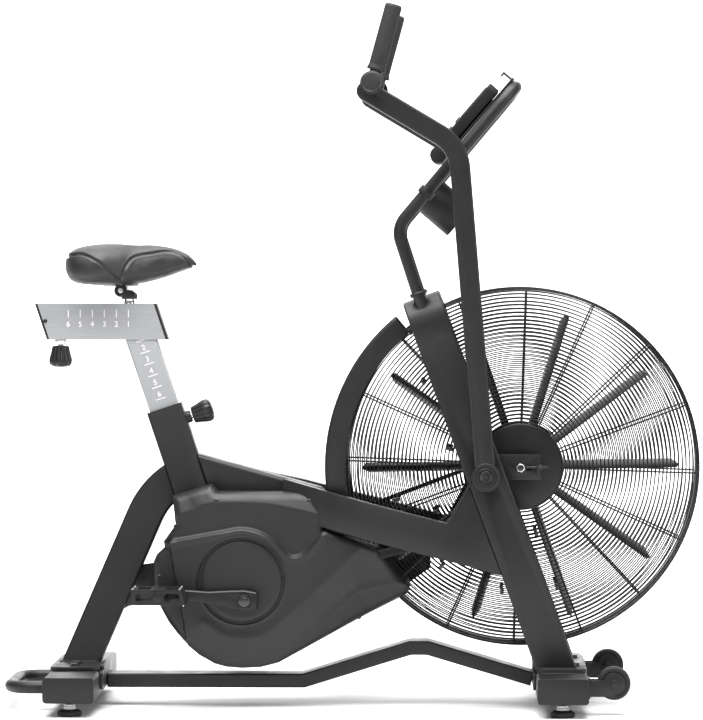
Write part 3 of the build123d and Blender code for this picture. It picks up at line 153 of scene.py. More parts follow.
def grained_vinyl(name, base):
    """Vinyl with a fine leather grain and broad soft wrinkles."""
    mat, tree, shade = shader(name)
    here = coords(tree)
    cells = add(tree, "ShaderNodeTexVoronoi", Scale=620.0)
    cells.feature = "DISTANCE_TO_EDGE"
    tree.links.new(here, cells.inputs["Vector"])
    grain = ramp(tree, cells.outputs["Distance"], 0.0, 1.0, 0.0, 0.22)
    tree.links.new(ramp(tree, noise(tree, here, 9, 4), tuple(c * 0.8 for c in base),
                        tuple(c * 1.3 for c in base)), shade.inputs["Base Color"])
    tree.links.new(ramp(tree, noise(tree, here, 34, 5), 0.38, 0.52), shade.inputs["Roughness"])
    fine = bump(tree, shade, grain, 0.35, 0.00025)
    soft = add(tree, "ShaderNodeBump", Strength=0.25, Distance=0.003)
    tree.links.new(noise(tree, here, 22, 2), soft.inputs["Height"])
    tree.links.new(soft.outputs["Normal"], fine.inputs["Normal"])
    return mat


post_lean = radians(18.5)
paint = coated("powder_coat", (0.0125, 0.0128, 0.0135), 0.4, grain=1500, depth=0.00008)
wire_paint = coated("wire_coat", (0.010, 0.010, 0.0105), 0.36, grain=900, depth=0.00004)
fan_paint = coated("fan_coat", (0.013, 0.013, 0.0135), 0.42, grain=900, depth=0.00005)
plastic = coated("moulded_plastic", (0.010, 0.0102, 0.011), 0.46, grain=2200, depth=0.00005)
shell_plastic = coated("shell_plastic", (0.015, 0.0153, 0.0162), 0.4, grain=1900, depth=0.00006)
gloss_plastic = coated("knob_plastic", (0.012, 0.012, 0.0125), 0.27, grain=700, depth=0.00002)
rubber = coated("rubber", (0.018, 0.0185, 0.0195), 0.62, grain=650, depth=0.00015, spread=0.2)
tyre = coated("tyre", (0.016, 0.016, 0.017), 0.6, grain=500, depth=0.0001, spread=0.2)
hub_white = coated("foot_plastic", (0.62, 0.62, 0.6), 0.45, grain=900, depth=0.00003, spread=0.05)
steel = brushed("plated_steel", (0.62, 0.62, 0.62), 0.3, (60, 60, 60))
dark_steel = brushed("dark_steel", (0.07, 0.069, 0.068), 0.36, (90, 90, 90))
chrome = brushed("chrome", (0.82, 0.83, 0.84), 0.1, (12, 12, 12), depth=0.000005)
post_steel = brushed("post_steel", (0.36, 0.365, 0.375), 0.4, (900, 900, 14), (0, -post_lean, 0),
                     metallic=0.35)
rail_steel = brushed("rail_steel", (0.36, 0.365, 0.375), 0.4, (14, 900, 900), metallic=0.35)
crank_black = coated("crank_finish", (0.016, 0.016, 0.017), 0.3, metallic=0.3, grain=1200,
                     wear=(0.12, 0.12, 0.12))
vinyl = grained_vinyl("saddle_vinyl", (0.011, 0.0112, 0.0118))
# painted shade: a near-black coat, used only on the sheet that stands in for the shade inside the rail's slot
slot_shade_paint = coated("painted_slot_shade", (0.012, 0.012, 0.012), 0.5, grain=900, depth=0.00001)
pale_ink = coated("pale_ink", (0.8, 0.8, 0.8), 0.5, grain=900, depth=0.00001)


# ------------------------------------------------------------------ meshes
def keep(obj, body, mat, slot_name, *replaced):
    """Give a finished piece its material and body."""
    obj.data.materials.clear()
    obj.data.materials.append(mat)
    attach(obj, body)
    if replaced:
        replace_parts(obj, *replaced)
    return obj


def from_bmesh(name, bm, angle=38):
    bmesh.ops.recalc_face_normals(bm, faces=bm.faces)
    mesh = bpy.data.meshes.new(name)
    bm.to_mesh(mesh)
    bm.free()
    return place(name, mesh, angle)


def place(name, mesh, angle=38):
    mesh.shade_smooth()
    mesh.set_sharp_from_angle(angle=radians(angle))
    obj = bpy.data.objects.new(name, mesh)
    scene.collection.objects.link(obj)
    return obj


def evaluated(obj):
    """Mesh of an object with its modifiers applied."""
    graph = bpy.context.evaluated_depsgraph_get()
    return bpy.data.meshes.new_from_object(obj.evaluated_get(graph), depsgraph=graph)


def bevelled(obj, width, segments=2, angle=32, smooth=38):
    """Round the sharp edges of an object and apply it."""
    mod = obj.modifiers.new("bevel", "BEVEL")
    mod.width, mod.segments, mod.limit_method, mod.angle_limit = width, segments, "ANGLE", radians(angle)
    mod.use_clamp_overlap = True
    bpy.context.view_layer.update()
    mesh = evaluated(obj)
    obj.modifiers.clear()
    old = obj.data
    obj.data = mesh
    bpy.data.meshes.remove(old)
    mesh.shade_smooth()
    mesh.set_sharp_from_angle(angle=radians(smooth))
    return obj


def refined(node, mat, width=0.0009, segments=2):
    """Copy of a CAD node with its edges rounded, shown in the node's place."""
    bm = bmesh.new()
    bm.from_mesh(nodes[node].data)
    bmesh.ops.remove_doubles(bm, verts=bm.verts, dist=0.00002)
    bmesh.ops.dissolve_limit(bm, angle_limit=radians(0.6), verts=bm.verts, edges=bm.edges)
    mesh = bpy.data.meshes.new("look_" + node)
    bm.to_mesh(mesh)
    bm.free()
    obj = place("look_" + node, mesh)
    if width:
        bevelled(obj, width, segments)
    return keep(obj, body_of[node], mat, slot_of[node], node)


def axes_for(direction):
    w = Vector(direction).normalized()
    u = w.orthogonal().normalized()
    return u, w.cross(u), w


def lathe(name, origin, direction, profile, steps=48, closed=False, flutes=0, flute_depth=0.0):
    """Turn a profile of (radius, distance along the axis) about an axis; flutes cut the rim into ribs."""
    u, v, w = axes_for(direction)
    origin = Vector(origin)
    bm = bmesh.new()
    rings = []
    for radius, along in profile:
        ring = []
        for i in range(steps):
            t = 2 * pi * i / steps
            r = radius
            if flutes and radius > 0:
                r -= flute_depth * (0.5 - 0.5 * cos(flutes * t)) ** 3 * radius / max(p[0] for p in profile)
            ring.append(bm.verts.new(origin + w * along + (u * cos(t) + v * sin(t)) * r))
        rings.append(ring)
    pairs = list(zip(rings, rings[1:])) + ([(rings[-1], rings[0])] if closed else [])
    for a, b in pairs:
        for i in range(steps):
            j = (i + 1) % steps
            bm.faces.new((a[i], a[j], b[j], b[i]))
    if not closed:
        for ring in (rings[0], rings[-1]):
            bm.faces.new(ring)
    return from_bmesh(name, bm)


def sweep(bm, points, radius, sides=10, closed=False):
    """Round tube along a line of points, added to a bmesh."""
    pts = [Vector(p) for p in points]
    n = len(pts)
    rings = []
    normal = None
    for i, p in enumerate(pts):
        before = pts[i - 1] if (i or closed) else p
        after = pts[(i + 1) % n] if (i < n - 1 or closed) else p
        tangent = (after - before).normalized()
        if normal is None:
            normal = tangent.orthogonal().normalized()
        normal = (normal - tangent * normal.dot(tangent)).normalized()
        side = tangent.cross(normal)
        r = radius(i) if callable(radius) else radius
        rings.append([bm.verts.new(p + (normal * cos(2 * pi * k / sides) + side * sin(2 * pi * k / sides)) * r)
                      for k in range(sides)])
    links = list(zip(rings, rings[1:])) + ([(rings[-1], rings[0])] if closed else [])
    for a, b in links:
        for k in range(sides):
            m = (k + 1) % sides
            bm.faces.new((a[k], a[m], b[m], b[k]))
    if not closed:
        bm.faces.new(rings[0])
        bm.faces.new(rings[-1])


def smooth_line(points, steps=8, closed=False):
    """Catmull-Rom curve through points of any dimension."""
    pts = [Vector(p) for p in points]
    n = len(pts)
    out = []
    spans = n if closed else n - 1
    for i in range(spans):
        p1, p2 = pts[i], pts[(i + 1) % n]
        p0 = pts[i - 1] if (i or closed) else p1 + (p1 - p2)
        p3 = pts[(i + 2) % n] if (closed or i + 2 < n) else p2 + (p2 - p1)
        for k in range(steps):
            t = k / steps
            out.append(0.5 * (2 * p1 + (p2 - p0) * t + (2 * p0 - 5 * p1 + 4 * p2 - p3) * t * t
                              + (3 * p1 - p0 - 3 * p2 + p3) * t ** 3))
    if not closed:
        out.append(pts[-1])
    return out


def block(name, origin, u, v, w, size, bevel=0.001, segments=3):
    """Box centred on a point, along three axes, with rounded edges."""
    bm = bmesh.new()
    bmesh.ops.create_cube(bm, size=1.0)
    turn = Matrix((Vector(u).normalized() * size[0], Vector(v).normalized() * size[1],
                   Vector(w).normalized() * size[2])).transposed().to_4x4()
    bmesh.ops.transform(bm, matrix=Matrix.Translation(origin) @ turn, verts=bm.verts)
    return bevelled(from_bmesh(name, bm), bevel, segments)


def joined(name, objects):
    """Merge pieces into one mesh."""
    bm = bmesh.new()
    for o in objects:
        bm.from_mesh(o.data)
        mesh = o.data
        bpy.data.objects.remove(o)
        bpy.data.meshes.remove(mesh)
    return from_bmesh(name, bm)


def metres(points):
    return [(x / 1000, z / 1000) for x, z in points]


# ------------------------------------------------------------------ CAD nodes with better surfaces
for node in ("rear_stabilizer", "front_stabilizer", "base_rail", "rear_leg", "seat_tube", "top_tube",
             "fork_crown", "right_fork_leg", "left_fork_leg", "right_side_beam", "left_side_beam",
             "right_link_rod", "left_link_rod", "console_stem", "grab_handle"):
    refined(node, paint, 0.0009)
for node in ("right_handlebar", "left_handlebar"):
    refined(node, paint, 0.0009)
refined("fan_wheel", fan_paint, 0.0004, 1)
for node in ("fan_shroud", "chain_guard", "device_holder", "bottle_holder", "bottle_bracket"):
    refined(node, plastic, 0.0009)
refined("stabilizer_end_caps", plastic, 0.0006)
refined("rail_end_caps", plastic, 0.0007)
refined("seat_bushing", plastic, 0.0007)
refined("console_body", plastic, 0.0012, 3)
for i in range(4):
    refined(f"console_button_{i + 1}", coated(f"button_{i + 1}", (0.085, 0.086, 0.09), 0.55), 0.0008, 3)
refined("seat_post", post_steel, 0.0008)
refined("seat_rail", rail_steel, 0.0009)
slider = refined("seat_slider", chrome, 0.0006)
slider.data.materials.append(paint)
for face in slider.data.polygons:
    if face.center.z > 0.8125:
        face.material_index = 1
refined("saddle_support", steel, 0.0006)
refined("axle_plates", paint, 0.0004)
for node in ("fan_axle", "crank_axle", "bearings"):
    refined(node, dark_steel, 0.0004)
refined("drive_chain", dark_steel, 0.0003, 1)
refined("chainring", dark_steel, 0.0003, 1)
refined("crank_arms", crank_black, 0.0012, 3)
for node in ("right_pedal", "left_pedal"):
    refined(node, plastic, 0.0009)
for node in ("rear_right_foot", "rear_left_foot", "front_right_foot", "front_left_foot"):
    refined(node, rubber, 0.0008)
for node in ("right_wheel", "left_wheel"):
    refined(node, tyre, 0.001)


# ------------------------------------------------------------------ fan cage
fan = (0.332, 0.480)
cage_half, cage_radius, wire_radius = 0.076, 0.357, 0.0014
hub_radius, corner = 0.086, 0.031
flat_radius = cage_radius - wire_radius - corner
ring_y = cage_half - wire_radius


def around_fan(r, y, angle):
    return Vector((fan[0] + r * cos(angle), y, fan[1] + r * sin(angle)))


def cage_wires():
    """Rings on the flat faces, around the rounded corners and across the rim."""
    places = []
    r = hub_radius + 0.004
    while r < flat_radius:
        places.append((r, ring_y))
        r += 0.0077
    for i in range(6):
        t = radians(15 * i + 6)
        places.append((flat_radius + corner * sin(t), ring_y - corner + corner * cos(t)))
    y = ring_y - corner - 0.003
    while y > 0.0095:
        places.append((cage_radius - wire_radius, y))
        y -= 0.0077
    bm = bmesh.new()
    for s in (-1, 1):
        for r, y in places:
            steps = 72 if r < 0.16 else 128
            sweep(bm, [around_fan(r, s * y, 2 * pi * k / steps) for k in range(steps)], wire_radius, 6, True)
    return from_bmesh("cage_rings_wire", bm, 60)


def cage_side(s, name):
    """Pairs of spoke wires, hub plate with raised edge, and half of the rim band."""
    inner_y = ring_y - wire_radius - 0.0016
    bend = corner - (ring_y - inner_y)
    line = [(hub_radius - 0.008, inner_y), (flat_radius, inner_y)]
    for i in range(1, 9):
        t = pi / 2 * i / 8
        line.append((flat_radius + bend * sin(t), inner_y - bend + bend * cos(t)))
    line.append((flat_radius + bend, 0.004))
    bm = bmesh.new()
    for i in range(16):
        a = -radians(2 + 22.5 * i)
        sweep(bm, [around_fan(r, s * y, a) for r, y in line], 0.0017, 8)
    band = [(flat_radius + bend - 0.002, 0), (cage_radius, 0), (cage_radius, 0.0055), (cage_radius - 0.001, 0.007),
            (flat_radius + bend - 0.001, 0.007), (flat_radius + bend - 0.002, 0.006)]
    hub = [(0.0205, 0.0695), (0.0205, 0.0752), (0.024, 0.0757), (0.078, 0.0757), (0.0815, 0.0745),
           (0.0835, 0.0757), (hub_radius, 0.0745), (hub_radius, 0.0695)]
    steps = 160
    for profile in (band, hub):
        rings = [[bm.verts.new(around_fan(r, s * y, 2 * pi * k / steps)) for k in range(steps)]
                 for r, y in profile]
        for a, b in zip(rings, rings[1:] + rings[:1]):
            for k in range(steps):
                m = (k + 1) % steps
                bm.faces.new((a[k], a[m], b[m], b[k]))
    return keep(from_bmesh(name, bm), "frame", wire_paint, "cage_paint")


keep(cage_wires(), "frame", wire_paint, "cage_paint", "cage_rings")
for hand, s in hands:
    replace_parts(cage_side(s, f"{hand}_cage_wire"), f"{hand}_cage_frame")

# clips that hold the rings to the spokes
clip_places = metres([(113.2, 747.4), (139, 648.3), (191.9, 515.5), (86.7, 414.5), (164.2, 390.7),
                      (176.7, 283.7), (295.6, 232.1), (362.9, 349.1), (404.5, 243)])
clips = []
for hand, s in hands:
    for i, (x, z) in enumerate(clip_places):
        out = Vector((x - fan[0], 0, z - fan[1])).normalized()
        y = s * (ring_y - 0.0005)
        clips.append(block(f"clip_{hand}_{i}", Vector((x, y, z)), out, (0, 1, 0), out.cross(Vector((0, 1, 0))),
                           (0.013, 0.0042, 0.0075), 0.0012))
keep(joined("cage_clips", clips), "frame", dark_steel, "plated_steel")


# ------------------------------------------------------------------ casing
casing_line = metres([
    (-360.3, 420.9), (-282.3, 444.8), (-269.4, 430), (-61.3, 430), (-56.2, 396.4), (-56.2, 356.9),
    (50.5, 323.4), (86, 273), (106, 254), (113.6, 244.4), (112, 235), (107.7, 228.6), (86, 214.8), (10, 175.3),
    (-73.9, 129.9), (-147, 90.4), (-183.5, 81.3), (-220.1, 79.5), (-252, 82), (-275.3, 88.4), (-305, 105),
    (-329.6, 126.9), (-350, 150), (-366.2, 171.3), (-382, 200), (-391, 222), (-395.8, 244.4), (-395.8, 291.8),
    (-389.9, 305.6), (-374.1, 319.4), (-376, 331.3), (-352.4, 364.8), (-355.3, 390.5)])
groove_line = metres([(-362, 334), (-355.3, 335.2), (-256.6, 353), (-220.1, 358.9), (-183.5, 351),
                      (-150.9, 331.3), (-129.2, 309.5), (-114.2, 303.6), (-95.7, 311.5), (-73.9, 335.2),
                      (-50, 362)])
upper_crease = metres([(-352, 385), (-318.8, 394.5), (-285.2, 408.3), (-183.5, 408.3), (-110.5, 396.4),
                       (-50, 380.6)])
tail_crease = metres([(-293.1, 171.3), (-256.6, 147.6), (-220.1, 141.7), (-183.5, 147.6), (-147, 171.3),
                      (-73.9, 236.5), (16.9, 323.4)])
lower_facet = metres([(-175, 70), (-162.8, 84.4), (12.9, 232.5), (86, 250.3), (125, 244)])
casing_y, disc_at = 0.108, (-0.2201, 0.2543)


def densify(line, step, closed=False):
    out = []
    pairs = list(zip(line, line[1:])) + ([(line[-1], line[0])] if closed else [])
    for (x0, z0), (x1, z1) in pairs:
        n = max(1, round(hypot(x1 - x0, z1 - z0) / step))
        out += [(x0 + (x1 - x0) * k / n, z0 + (z1 - z0) * k / n) for k in range(n)]
    if not closed:
        out.append(line[-1])
    return out


def curved(line, step=4):
    return [(p[0], p[1]) for p in smooth_line([(x, z) for x, z in line], step)]


def distance(point, line, closed=False):
    """Distance to a line of straight runs, and which side of it the point is on."""
    px, pz = point
    best, sign = 1e9, 1
    pairs = list(zip(line, line[1:])) + ([(line[-1], line[0])] if closed else [])
    for (x0, z0), (x1, z1) in pairs:
        dx, dz = x1 - x0, z1 - z0
        length = dx * dx + dz * dz
        t = max(0.0, min(1.0, ((px - x0) * dx + (pz - z0) * dz) / length)) if length else 0.0
        d = hypot(px - x0 - t * dx, pz - z0 - t * dz)
        if d < best - 1e-9:
            best, sign = d, (1 if dx * (pz - z0) - dz * (px - x0) > 0 else -1)
    return best, sign


def ease(t):
    t = max(0.0, min(1.0, t))
    return t * t * (3 - 2 * t)


groove_curve, upper_curve = curved(groove_line), curved(upper_crease)
tail_curve = curved(tail_crease)


def ridge_height(x):
    """Height of the tail crease at a given x."""
    line = tail_curve
    for (x0, z0), (x1, z1) in zip(line, line[1:]):
        if x0 <= x <= x1:
            return z0 + (z1 - z0) * (x - x0) / (x1 - x0)
    return line[0][1] if x < line[0][0] else line[-1][1]


ring_in, ring_out, ring_rim = 0.079, 0.087, 0.091


def casing_depth(point):
    """How far the outer face lies inside its main level, in metres."""
    x, z = point
    edge, _ = distance(point, casing_line, True)
    round_edge = 0.016
    depth = 0.0
    if edge < round_edge:
        depth += round_edge - sqrt(max(0.0, round_edge ** 2 - (round_edge - edge) ** 2))
    g, above = distance(point, groove_curve)
    if above > 0:
        # panel behind the S-shaped groove, falling away towards the top edge
        depth += 0.009 * ease(g / 0.0035)
        up, higher = distance(point, upper_curve)
        if higher > 0:
            depth += 0.5 * min(up, 0.035)
    else:
        # rounded lip along the groove
        depth -= 0.0014 * ease(g / 0.004) * (1 - ease((g - 0.006) / 0.012))
    depth += 0.0045 * (1 - ease(g / 0.0045))
    t, _ = distance(point, tail_curve)
    depth -= 0.0022 * exp(-(t / 0.009) ** 2)
    below = ridge_height(x) - z
    if below > 0:
        depth += 0.012 * ease(below / 0.075) * ease((x + 0.345) / 0.05)
    low, under = distance(point, lower_facet)
    if under < 0 and x > -0.175:
        depth += 0.75 * low
    r = hypot(x - disc_at[0], z - disc_at[1])
    if r < ring_rim + 0.014:
        depth *= ease((r - ring_out) / (ring_rim + 0.014 - ring_out)) if r > ring_out else 0.0
        if ring_in < r < ring_out:
            depth += 0.0055
        elif r >= ring_out:
            depth -= 0.0016 * (1 - ease((r - ring_out) / 0.004))
        else:
            depth -= 0.0012 * ease((ring_in - r) / 0.006)
    return depth


def rim_inner(x, z):
    """How far from the middle the casing's edge stops, leaving room for the seat tube and the leg."""
    if -0.3425 < x < -0.0575 and z > 0.355:
        return 0.0345
    if -0.42 < x < -0.28 and z > 0.34:
        return 0.027
    return 0.0002


def casing_shell(s, name):
    """One half of the moulded casing: modelled face, rounded rim and side wall."""
    rim = densify(casing_line, 0.0032, True)
    points = [Vector(p) for p in rim]
    edges = [(i, (i + 1) % len(rim)) for i in range(len(rim))]
    step = 0.003

    def loop(line, closed):
        start = len(points)
        points.extend(Vector(p) for p in line)
        edges.extend((k, k + 1) for k in range(start, len(points) - 1))
        if closed:
            edges.append((len(points) - 1, start))

    for r in (ring_in - 0.0002, ring_in + 0.0006, ring_out - 0.0006, ring_out + 0.0002, ring_rim):
        turn = [2 * pi * k / 200 for k in range(200)]
        loop([(disc_at[0] + r * cos(a), disc_at[1] + r * sin(a)) for a in turn], True)
    groove = [p for p in densify(groove_curve, 0.003) if -0.352 < p[0] < -0.062]
    for shift in (-0.0045, -0.0022, 0.0, 0.002, 0.0042):
        side_line = []
        for before, here, after in zip(groove, groove[1:], groove[2:]):
            dx, dz = after[0] - before[0], after[1] - before[1]
            length = hypot(dx, dz)
            side_line.append((here[0] - shift * dz / length, here[1] + shift * dx / length))
        loop(side_line, False)
    z = 0.080
    row = 0
    while z < 0.445:
        x = -0.396 + (step / 2 if row % 2 else 0)
        while x < 0.114:
            d, _ = distance((x, z), casing_line, True)
            inside = False
            for (x0, z0), (x1, z1) in zip(casing_line, casing_line[1:] + casing_line[:1]):
                if (z0 > z) != (z1 > z) and x < (x1 - x0) * (z - z0) / (z1 - z0) + x0:
                    inside = not inside
            r = hypot(x - disc_at[0], z - disc_at[1])
            crowded = ring_in - 0.002 < r < ring_rim + 0.0015 or distance((x, z), groove)[0] < 0.0058
            if inside and d > step * 0.55 and not crowded:
                points.append(Vector((x, z)))
            x += step
        z += step * 0.866
        row += 1
    verts, _, faces, *_ = delaunay_2d_cdt(points, edges, [], 1, 1e-6)
    bm = bmesh.new()
    outer = [bm.verts.new((p.x, s * (casing_y - casing_depth((p.x, p.y))), p.y)) for p in verts]
    for f in faces:
        bm.faces.new([outer[i] for i in f])
    bm.edges.ensure_lookup_table()
    rim_edges = [e for e in bm.edges if len(e.link_faces) == 1]
    moved = bmesh.ops.extrude_edge_only(bm, edges=rim_edges)
    for v in [g for g in moved["geom"] if isinstance(g, bmesh.types.BMVert)]:
        v.co.y = s * rim_inner(v.co.x, v.co.z)
    return keep(from_bmesh(name, bm, 50), "frame", shell_plastic, "black_plastic")


for hand, s in hands:
    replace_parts(casing_shell(s, f"{hand}_casing_shell"), f"{hand}_casing")


def screw(name, x, y, z, s, radius=0.0045, high=0.0022, recess=0.0012):
    """Domed screw with a hexagon socket, facing out along Y."""
    profile = [(radius, 0), (radius, high * 0.5), (radius * 0.86, high * 0.85), (radius * 0.6, high),
               (radius * 0.5, high), (radius * 0.46, high - recess), (0.00005, high - recess)]
    return lathe(name, (x, y, z), (0, s, 0), profile, 24)


screws = []
for hand, s in hands:
    for i, (x, z) in enumerate(metres([(-270.2, 412.6), (-85.8, 411.8), (-351.6, 361.5), (-384, 262),
                                       (11.8, 180)])):
        y = s * (casing_y - casing_depth((x, z)) - 0.0004)
        screws.append(screw(f"casing_screw_{hand}_{i}", x, y, z, s, 0.0048))
keep(joined("casing_screws", screws), "frame", dark_steel, "black_plastic")


# ------------------------------------------------------------------ saddle
def saddle_mesh():
    """Closed form of the saddle, a little smaller than the finished pad."""
    top = smooth_line([(-576, 890), (-568, 905), (-549, 916), (-510, 921), (-470, 920), (-434, 917),
                       (-388, 916), (-358, 911), (-332, 900), (-315, 883)], 6)
    low = smooth_line([(-576, 869), (-566, 850), (-546, 842), (-512, 839.5), (-472, 839), (-436, 841),
                       (-388, 852), (-350, 865), (-330, 871), (-315, 876)], 6)
    wide = smooth_line([(-576, 30), (-568, 63), (-549, 88), (-510, 101), (-470, 82), (-434, 56), (-388, 36),
                        (-358, 30), (-332, 24), (-315, 9)], 6)

    def at(line, x):
        for a, b in zip(line, line[1:]):
            if a[0] <= x <= b[0]:
                t = (x - a[0]) / (b[0] - a[0] or 1)
                return a[1] + (b[1] - a[1]) * t
        return line[-1][1] if x > line[-1][0] else line[0][1]

    bm = bmesh.new()
    stations, around = 56, 40
    rings = []
    for i in range(stations + 1):
        x = -576 + 261 * (0.5 - 0.5 * cos(pi * i / stations))
        t_z, l_z, w = at(top, x), at(low, x), at(wide, x)
        middle = l_z + (t_z - l_z) * 0.42
        ring = []
        for k in range(around):
            a = 2 * pi * k / around
            c, q = cos(a), sin(a)
            y = w * (1 if c >= 0 else -1) * abs(c) ** 0.8
            if q >= 0:
                z = middle + (t_z - middle) * abs(q) ** 0.86
                z -= 2.2 * max(0.0, 1 - abs(y) / 26) * ease((-400 - x) / 60)
            else:
                z = middle + (l_z - middle) * abs(q) ** 0.62
            ring.append(bm.verts.new((x / 1000, y / 1000, z / 1000)))
        rings.append(ring)
    for a, b in zip(rings, rings[1:]):
        for k in range(around):
            m = (k + 1) % around
            bm.faces.new((a[k], a[m], b[m], b[k]))
    bm.faces.new(rings[0])
    bm.faces.new(rings[-1])
    return from_bmesh("saddle_pad", bm, 180)


seam_front = [(-575, 896), (-541.8, 902), (-513.8, 892), (-487.8, 874), (-462, 850)]
seam_back = [(-462, 850), (-449.8, 880), (-434.8, 897), (-401.8, 904), (-373.8, 908), (-349.8, 903),
             (-331.8, 888), (-318, 874)]


def build_saddle():
    pad = saddle_mesh()
    mod = pad.modifiers.new("remesh", "REMESH")
    mod.mode, mod.voxel_size, mod.use_smooth_shade = "VOXEL", 0.0045, True
    bpy.context.view_layer.update()
    pad.data = evaluated(pad)
    pad.modifiers.clear()
    rest = [v.co.copy() for v in pad.data.vertices]
    held = pad.vertex_groups.new(name="held")
    for v in pad.data.vertices:
        if v.co.z < 0.858:
            held.add([v.index], 1.0, "REPLACE")
    cloth = pad.modifiers.new("cloth", "CLOTH")
    cloth.settings.quality = 6
    cloth.settings.tension_stiffness = cloth.settings.compression_stiffness = 25
    cloth.settings.bending_stiffness = 2.0
    cloth.settings.use_pressure = True
    cloth.settings.uniform_pressure_force = 4
    cloth.settings.effector_weights.gravity = 0
    cloth.settings.vertex_group_mass = "held"
    cloth.point_cache.frame_start, cloth.point_cache.frame_end = 1, 20
    for f in range(1, 21):
        scene.frame_set(f)
    swollen = evaluated(pad)
    for i, v in enumerate(pad.data.vertices):
        move = swollen.vertices[i].co - rest[i]
        cap = 0.004
        if move.length > cap:
            move *= cap / move.length
        v.co = rest[i] + move
    pad.modifiers.clear()
    pad.vertex_groups.clear()
    scene.frame_set(1)
    mod = pad.modifiers.new("finer", "SUBSURF")
    mod.levels = mod.render_levels = 1
    bpy.context.view_layer.update()
    pad.data = evaluated(pad)
    pad.modifiers.clear()
    lines = [[(x / 1000, z / 1000) for x, z in smooth_line(line, 6)] for line in (seam_front, seam_back)]
    normals = [v.normal.copy() for v in pad.data.vertices]
    for v, normal in zip(pad.data.vertices, normals):
        if abs(normal.y) < 0.12 and v.co.z > 0.905:
            continue
        d = min(distance((v.co.x, v.co.z), line)[0] for line in lines)
        if d < 0.009:
            v.co -= normal * 0.0036 * (1 - ease(d / 0.0042))
            v.co += normal * 0.0007 * ease(d / 0.0042) * (1 - ease((d - 0.0042) / 0.0048))
    pad.data.shade_smooth()
    keep(pad, "saddle", vinyl, "vinyl", "saddle")
    return pad


build_saddle()
saddle_pan = lathe("saddle_pan", (-0.500, 0, 0.8445), (0, 0, 1),
                   [(0.00005, 0), (0.032, 0), (0.035, 0.002), (0.035, 0.005)], 48)
for v in saddle_pan.data.vertices:
    v.co.x = -0.470 + (v.co.x + 0.500) * 1.5
keep(saddle_pan, "saddle", plastic, "black_plastic")


# ------------------------------------------------------------------ grips
def grip(name, origin, direction, length, radius, body, collar):
    """Rubber sleeve with shallow rings, a collar at its root and a domed end."""
    profile = [(radius + collar, 0), (radius + collar + 0.0005, 0.002), (radius + collar, 0.006),
               (radius, 0.009)]
    along = 0.012
    while along < length - 0.012:
        profile += [(radius, along), (radius - 0.00015, along + 0.0008), (radius - 0.00015, along + 0.0016),
                    (radius, along + 0.0024)]
        along += 0.0062
    for i in range(7):
        t = pi / 2 * i / 6
        profile.append((radius - 0.006 + 0.006 * cos(t), length - 0.006 + 0.006 * sin(t)))
    profile.append((0.0001, length))
    obj = lathe(name, origin, direction, profile, 64)
    return keep(obj, body, rubber, "grip_rubber")


tilt = radians(15.3)
for hand, s in hands:
    body = f"{hand}_handlebar"
    up = grip(f"{hand}_upright_grip", (0.048, s * 0.190, 1.2605), (sin(tilt), 0, cos(tilt)), 0.134, 0.017,
              body, 0.0015)
    grip(f"{hand}_side_grip", (0.0405, s * 0.208, 1.236), (0, s, 0), 0.092, 0.019, body, 0.004)
    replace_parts(up, f"{hand}_grips")


# ------------------------------------------------------------------ knobs
def knob(name, origin, direction, body, node):
    """Fluted knob, narrow towards its chrome stem and collar."""
    profile = [(0.0085, 0.0123), (0.015, 0.0128), (0.0172, 0.0145), (0.0195, 0.026), (0.0225, 0.036),
               (0.0235, 0.0415), (0.0232, 0.046), (0.0218, 0.0500), (0.0185, 0.0532), (0.0125, 0.0552), (0.006, 0.0559),
               (0.0001, 0.056)]
    obj = lathe(name, origin, direction, profile, 168, flutes=9, flute_depth=0.0018)
    keep(obj, body, gloss_plastic, "knob_plastic", node)
    stem = lathe(name + "_stem", origin, direction, [(0.00005, -0.0026), (0.005, -0.0026), (0.005, 0.0105),
                 (0.0062, 0.0107), (0.0062, 0.0126), (0.00005, 0.0126)], 32)
    keep(stem, body, chrome, "chrome")


pin_from = (-0.379 + 0.030 * sin(post_lean) + 0.036 * cos(post_lean), 0,
            0.592 - 0.030 * cos(post_lean) + 0.036 * sin(post_lean))
knob("height_grip", pin_from, (cos(post_lean), 0, sin(post_lean)), "height_knob", "height_knob")
knob("fore_aft_grip", (-0.588, 0, 0.731), (0, 0, -1), "fore_aft_knob", "fore_aft_knob")
for i, (at, direction, body) in enumerate(((pin_from, (cos(post_lean), 0, sin(post_lean)), "frame"),
                                           ((-0.588, 0, 0.731), (0, 0, -1), "seat_post"))):
    start = Vector(at)
    collar = lathe(f"pin_collar_{i}", start, direction, [(0.0062, 0.0), (0.0125, 0.0), (0.0125, 0.0075),
                   (0.0112, 0.0101), (0.0062, 0.0101)], 40, closed=True)
    keep(collar, body, chrome if i else paint, "plated_steel")


# ------------------------------------------------------------------ scales
def mark(name, x, z, angle, y, size, text=None):
    """Printed tick, or numeral, lying just proud of a face that looks along -Y or +Y."""
    s = -1 if y < 0 else 1
    a = radians(angle)
    if text is None:
        u, w = Vector((cos(a), 0, sin(a))), Vector((-sin(a), 0, cos(a)))
        return block(name, Vector((x, y, z)), u, (0, 1, 0), w, (size[0], 0.0003, size[1]), 0)
    curve = bpy.data.curves.new(name, "FONT")
    curve.body, curve.size, curve.extrude = text, size[0], 0.00015
    curve.align_x, curve.align_y = "CENTER", "CENTER"
    obj = bpy.data.objects.new(name, curve)
    scene.collection.objects.link(obj)
    bpy.context.view_layer.update()
    mesh = evaluated(obj)
    bpy.data.objects.remove(obj)
    for v in mesh.vertices:
        px, pz = v.co.x * -s, v.co.y
        v.co = Vector((x + px * cos(a) - pz * sin(a), y + v.co.z, z + px * sin(a) + pz * cos(a)))
    if s > 0:
        mesh.flip_normals()
    return place(name, mesh)


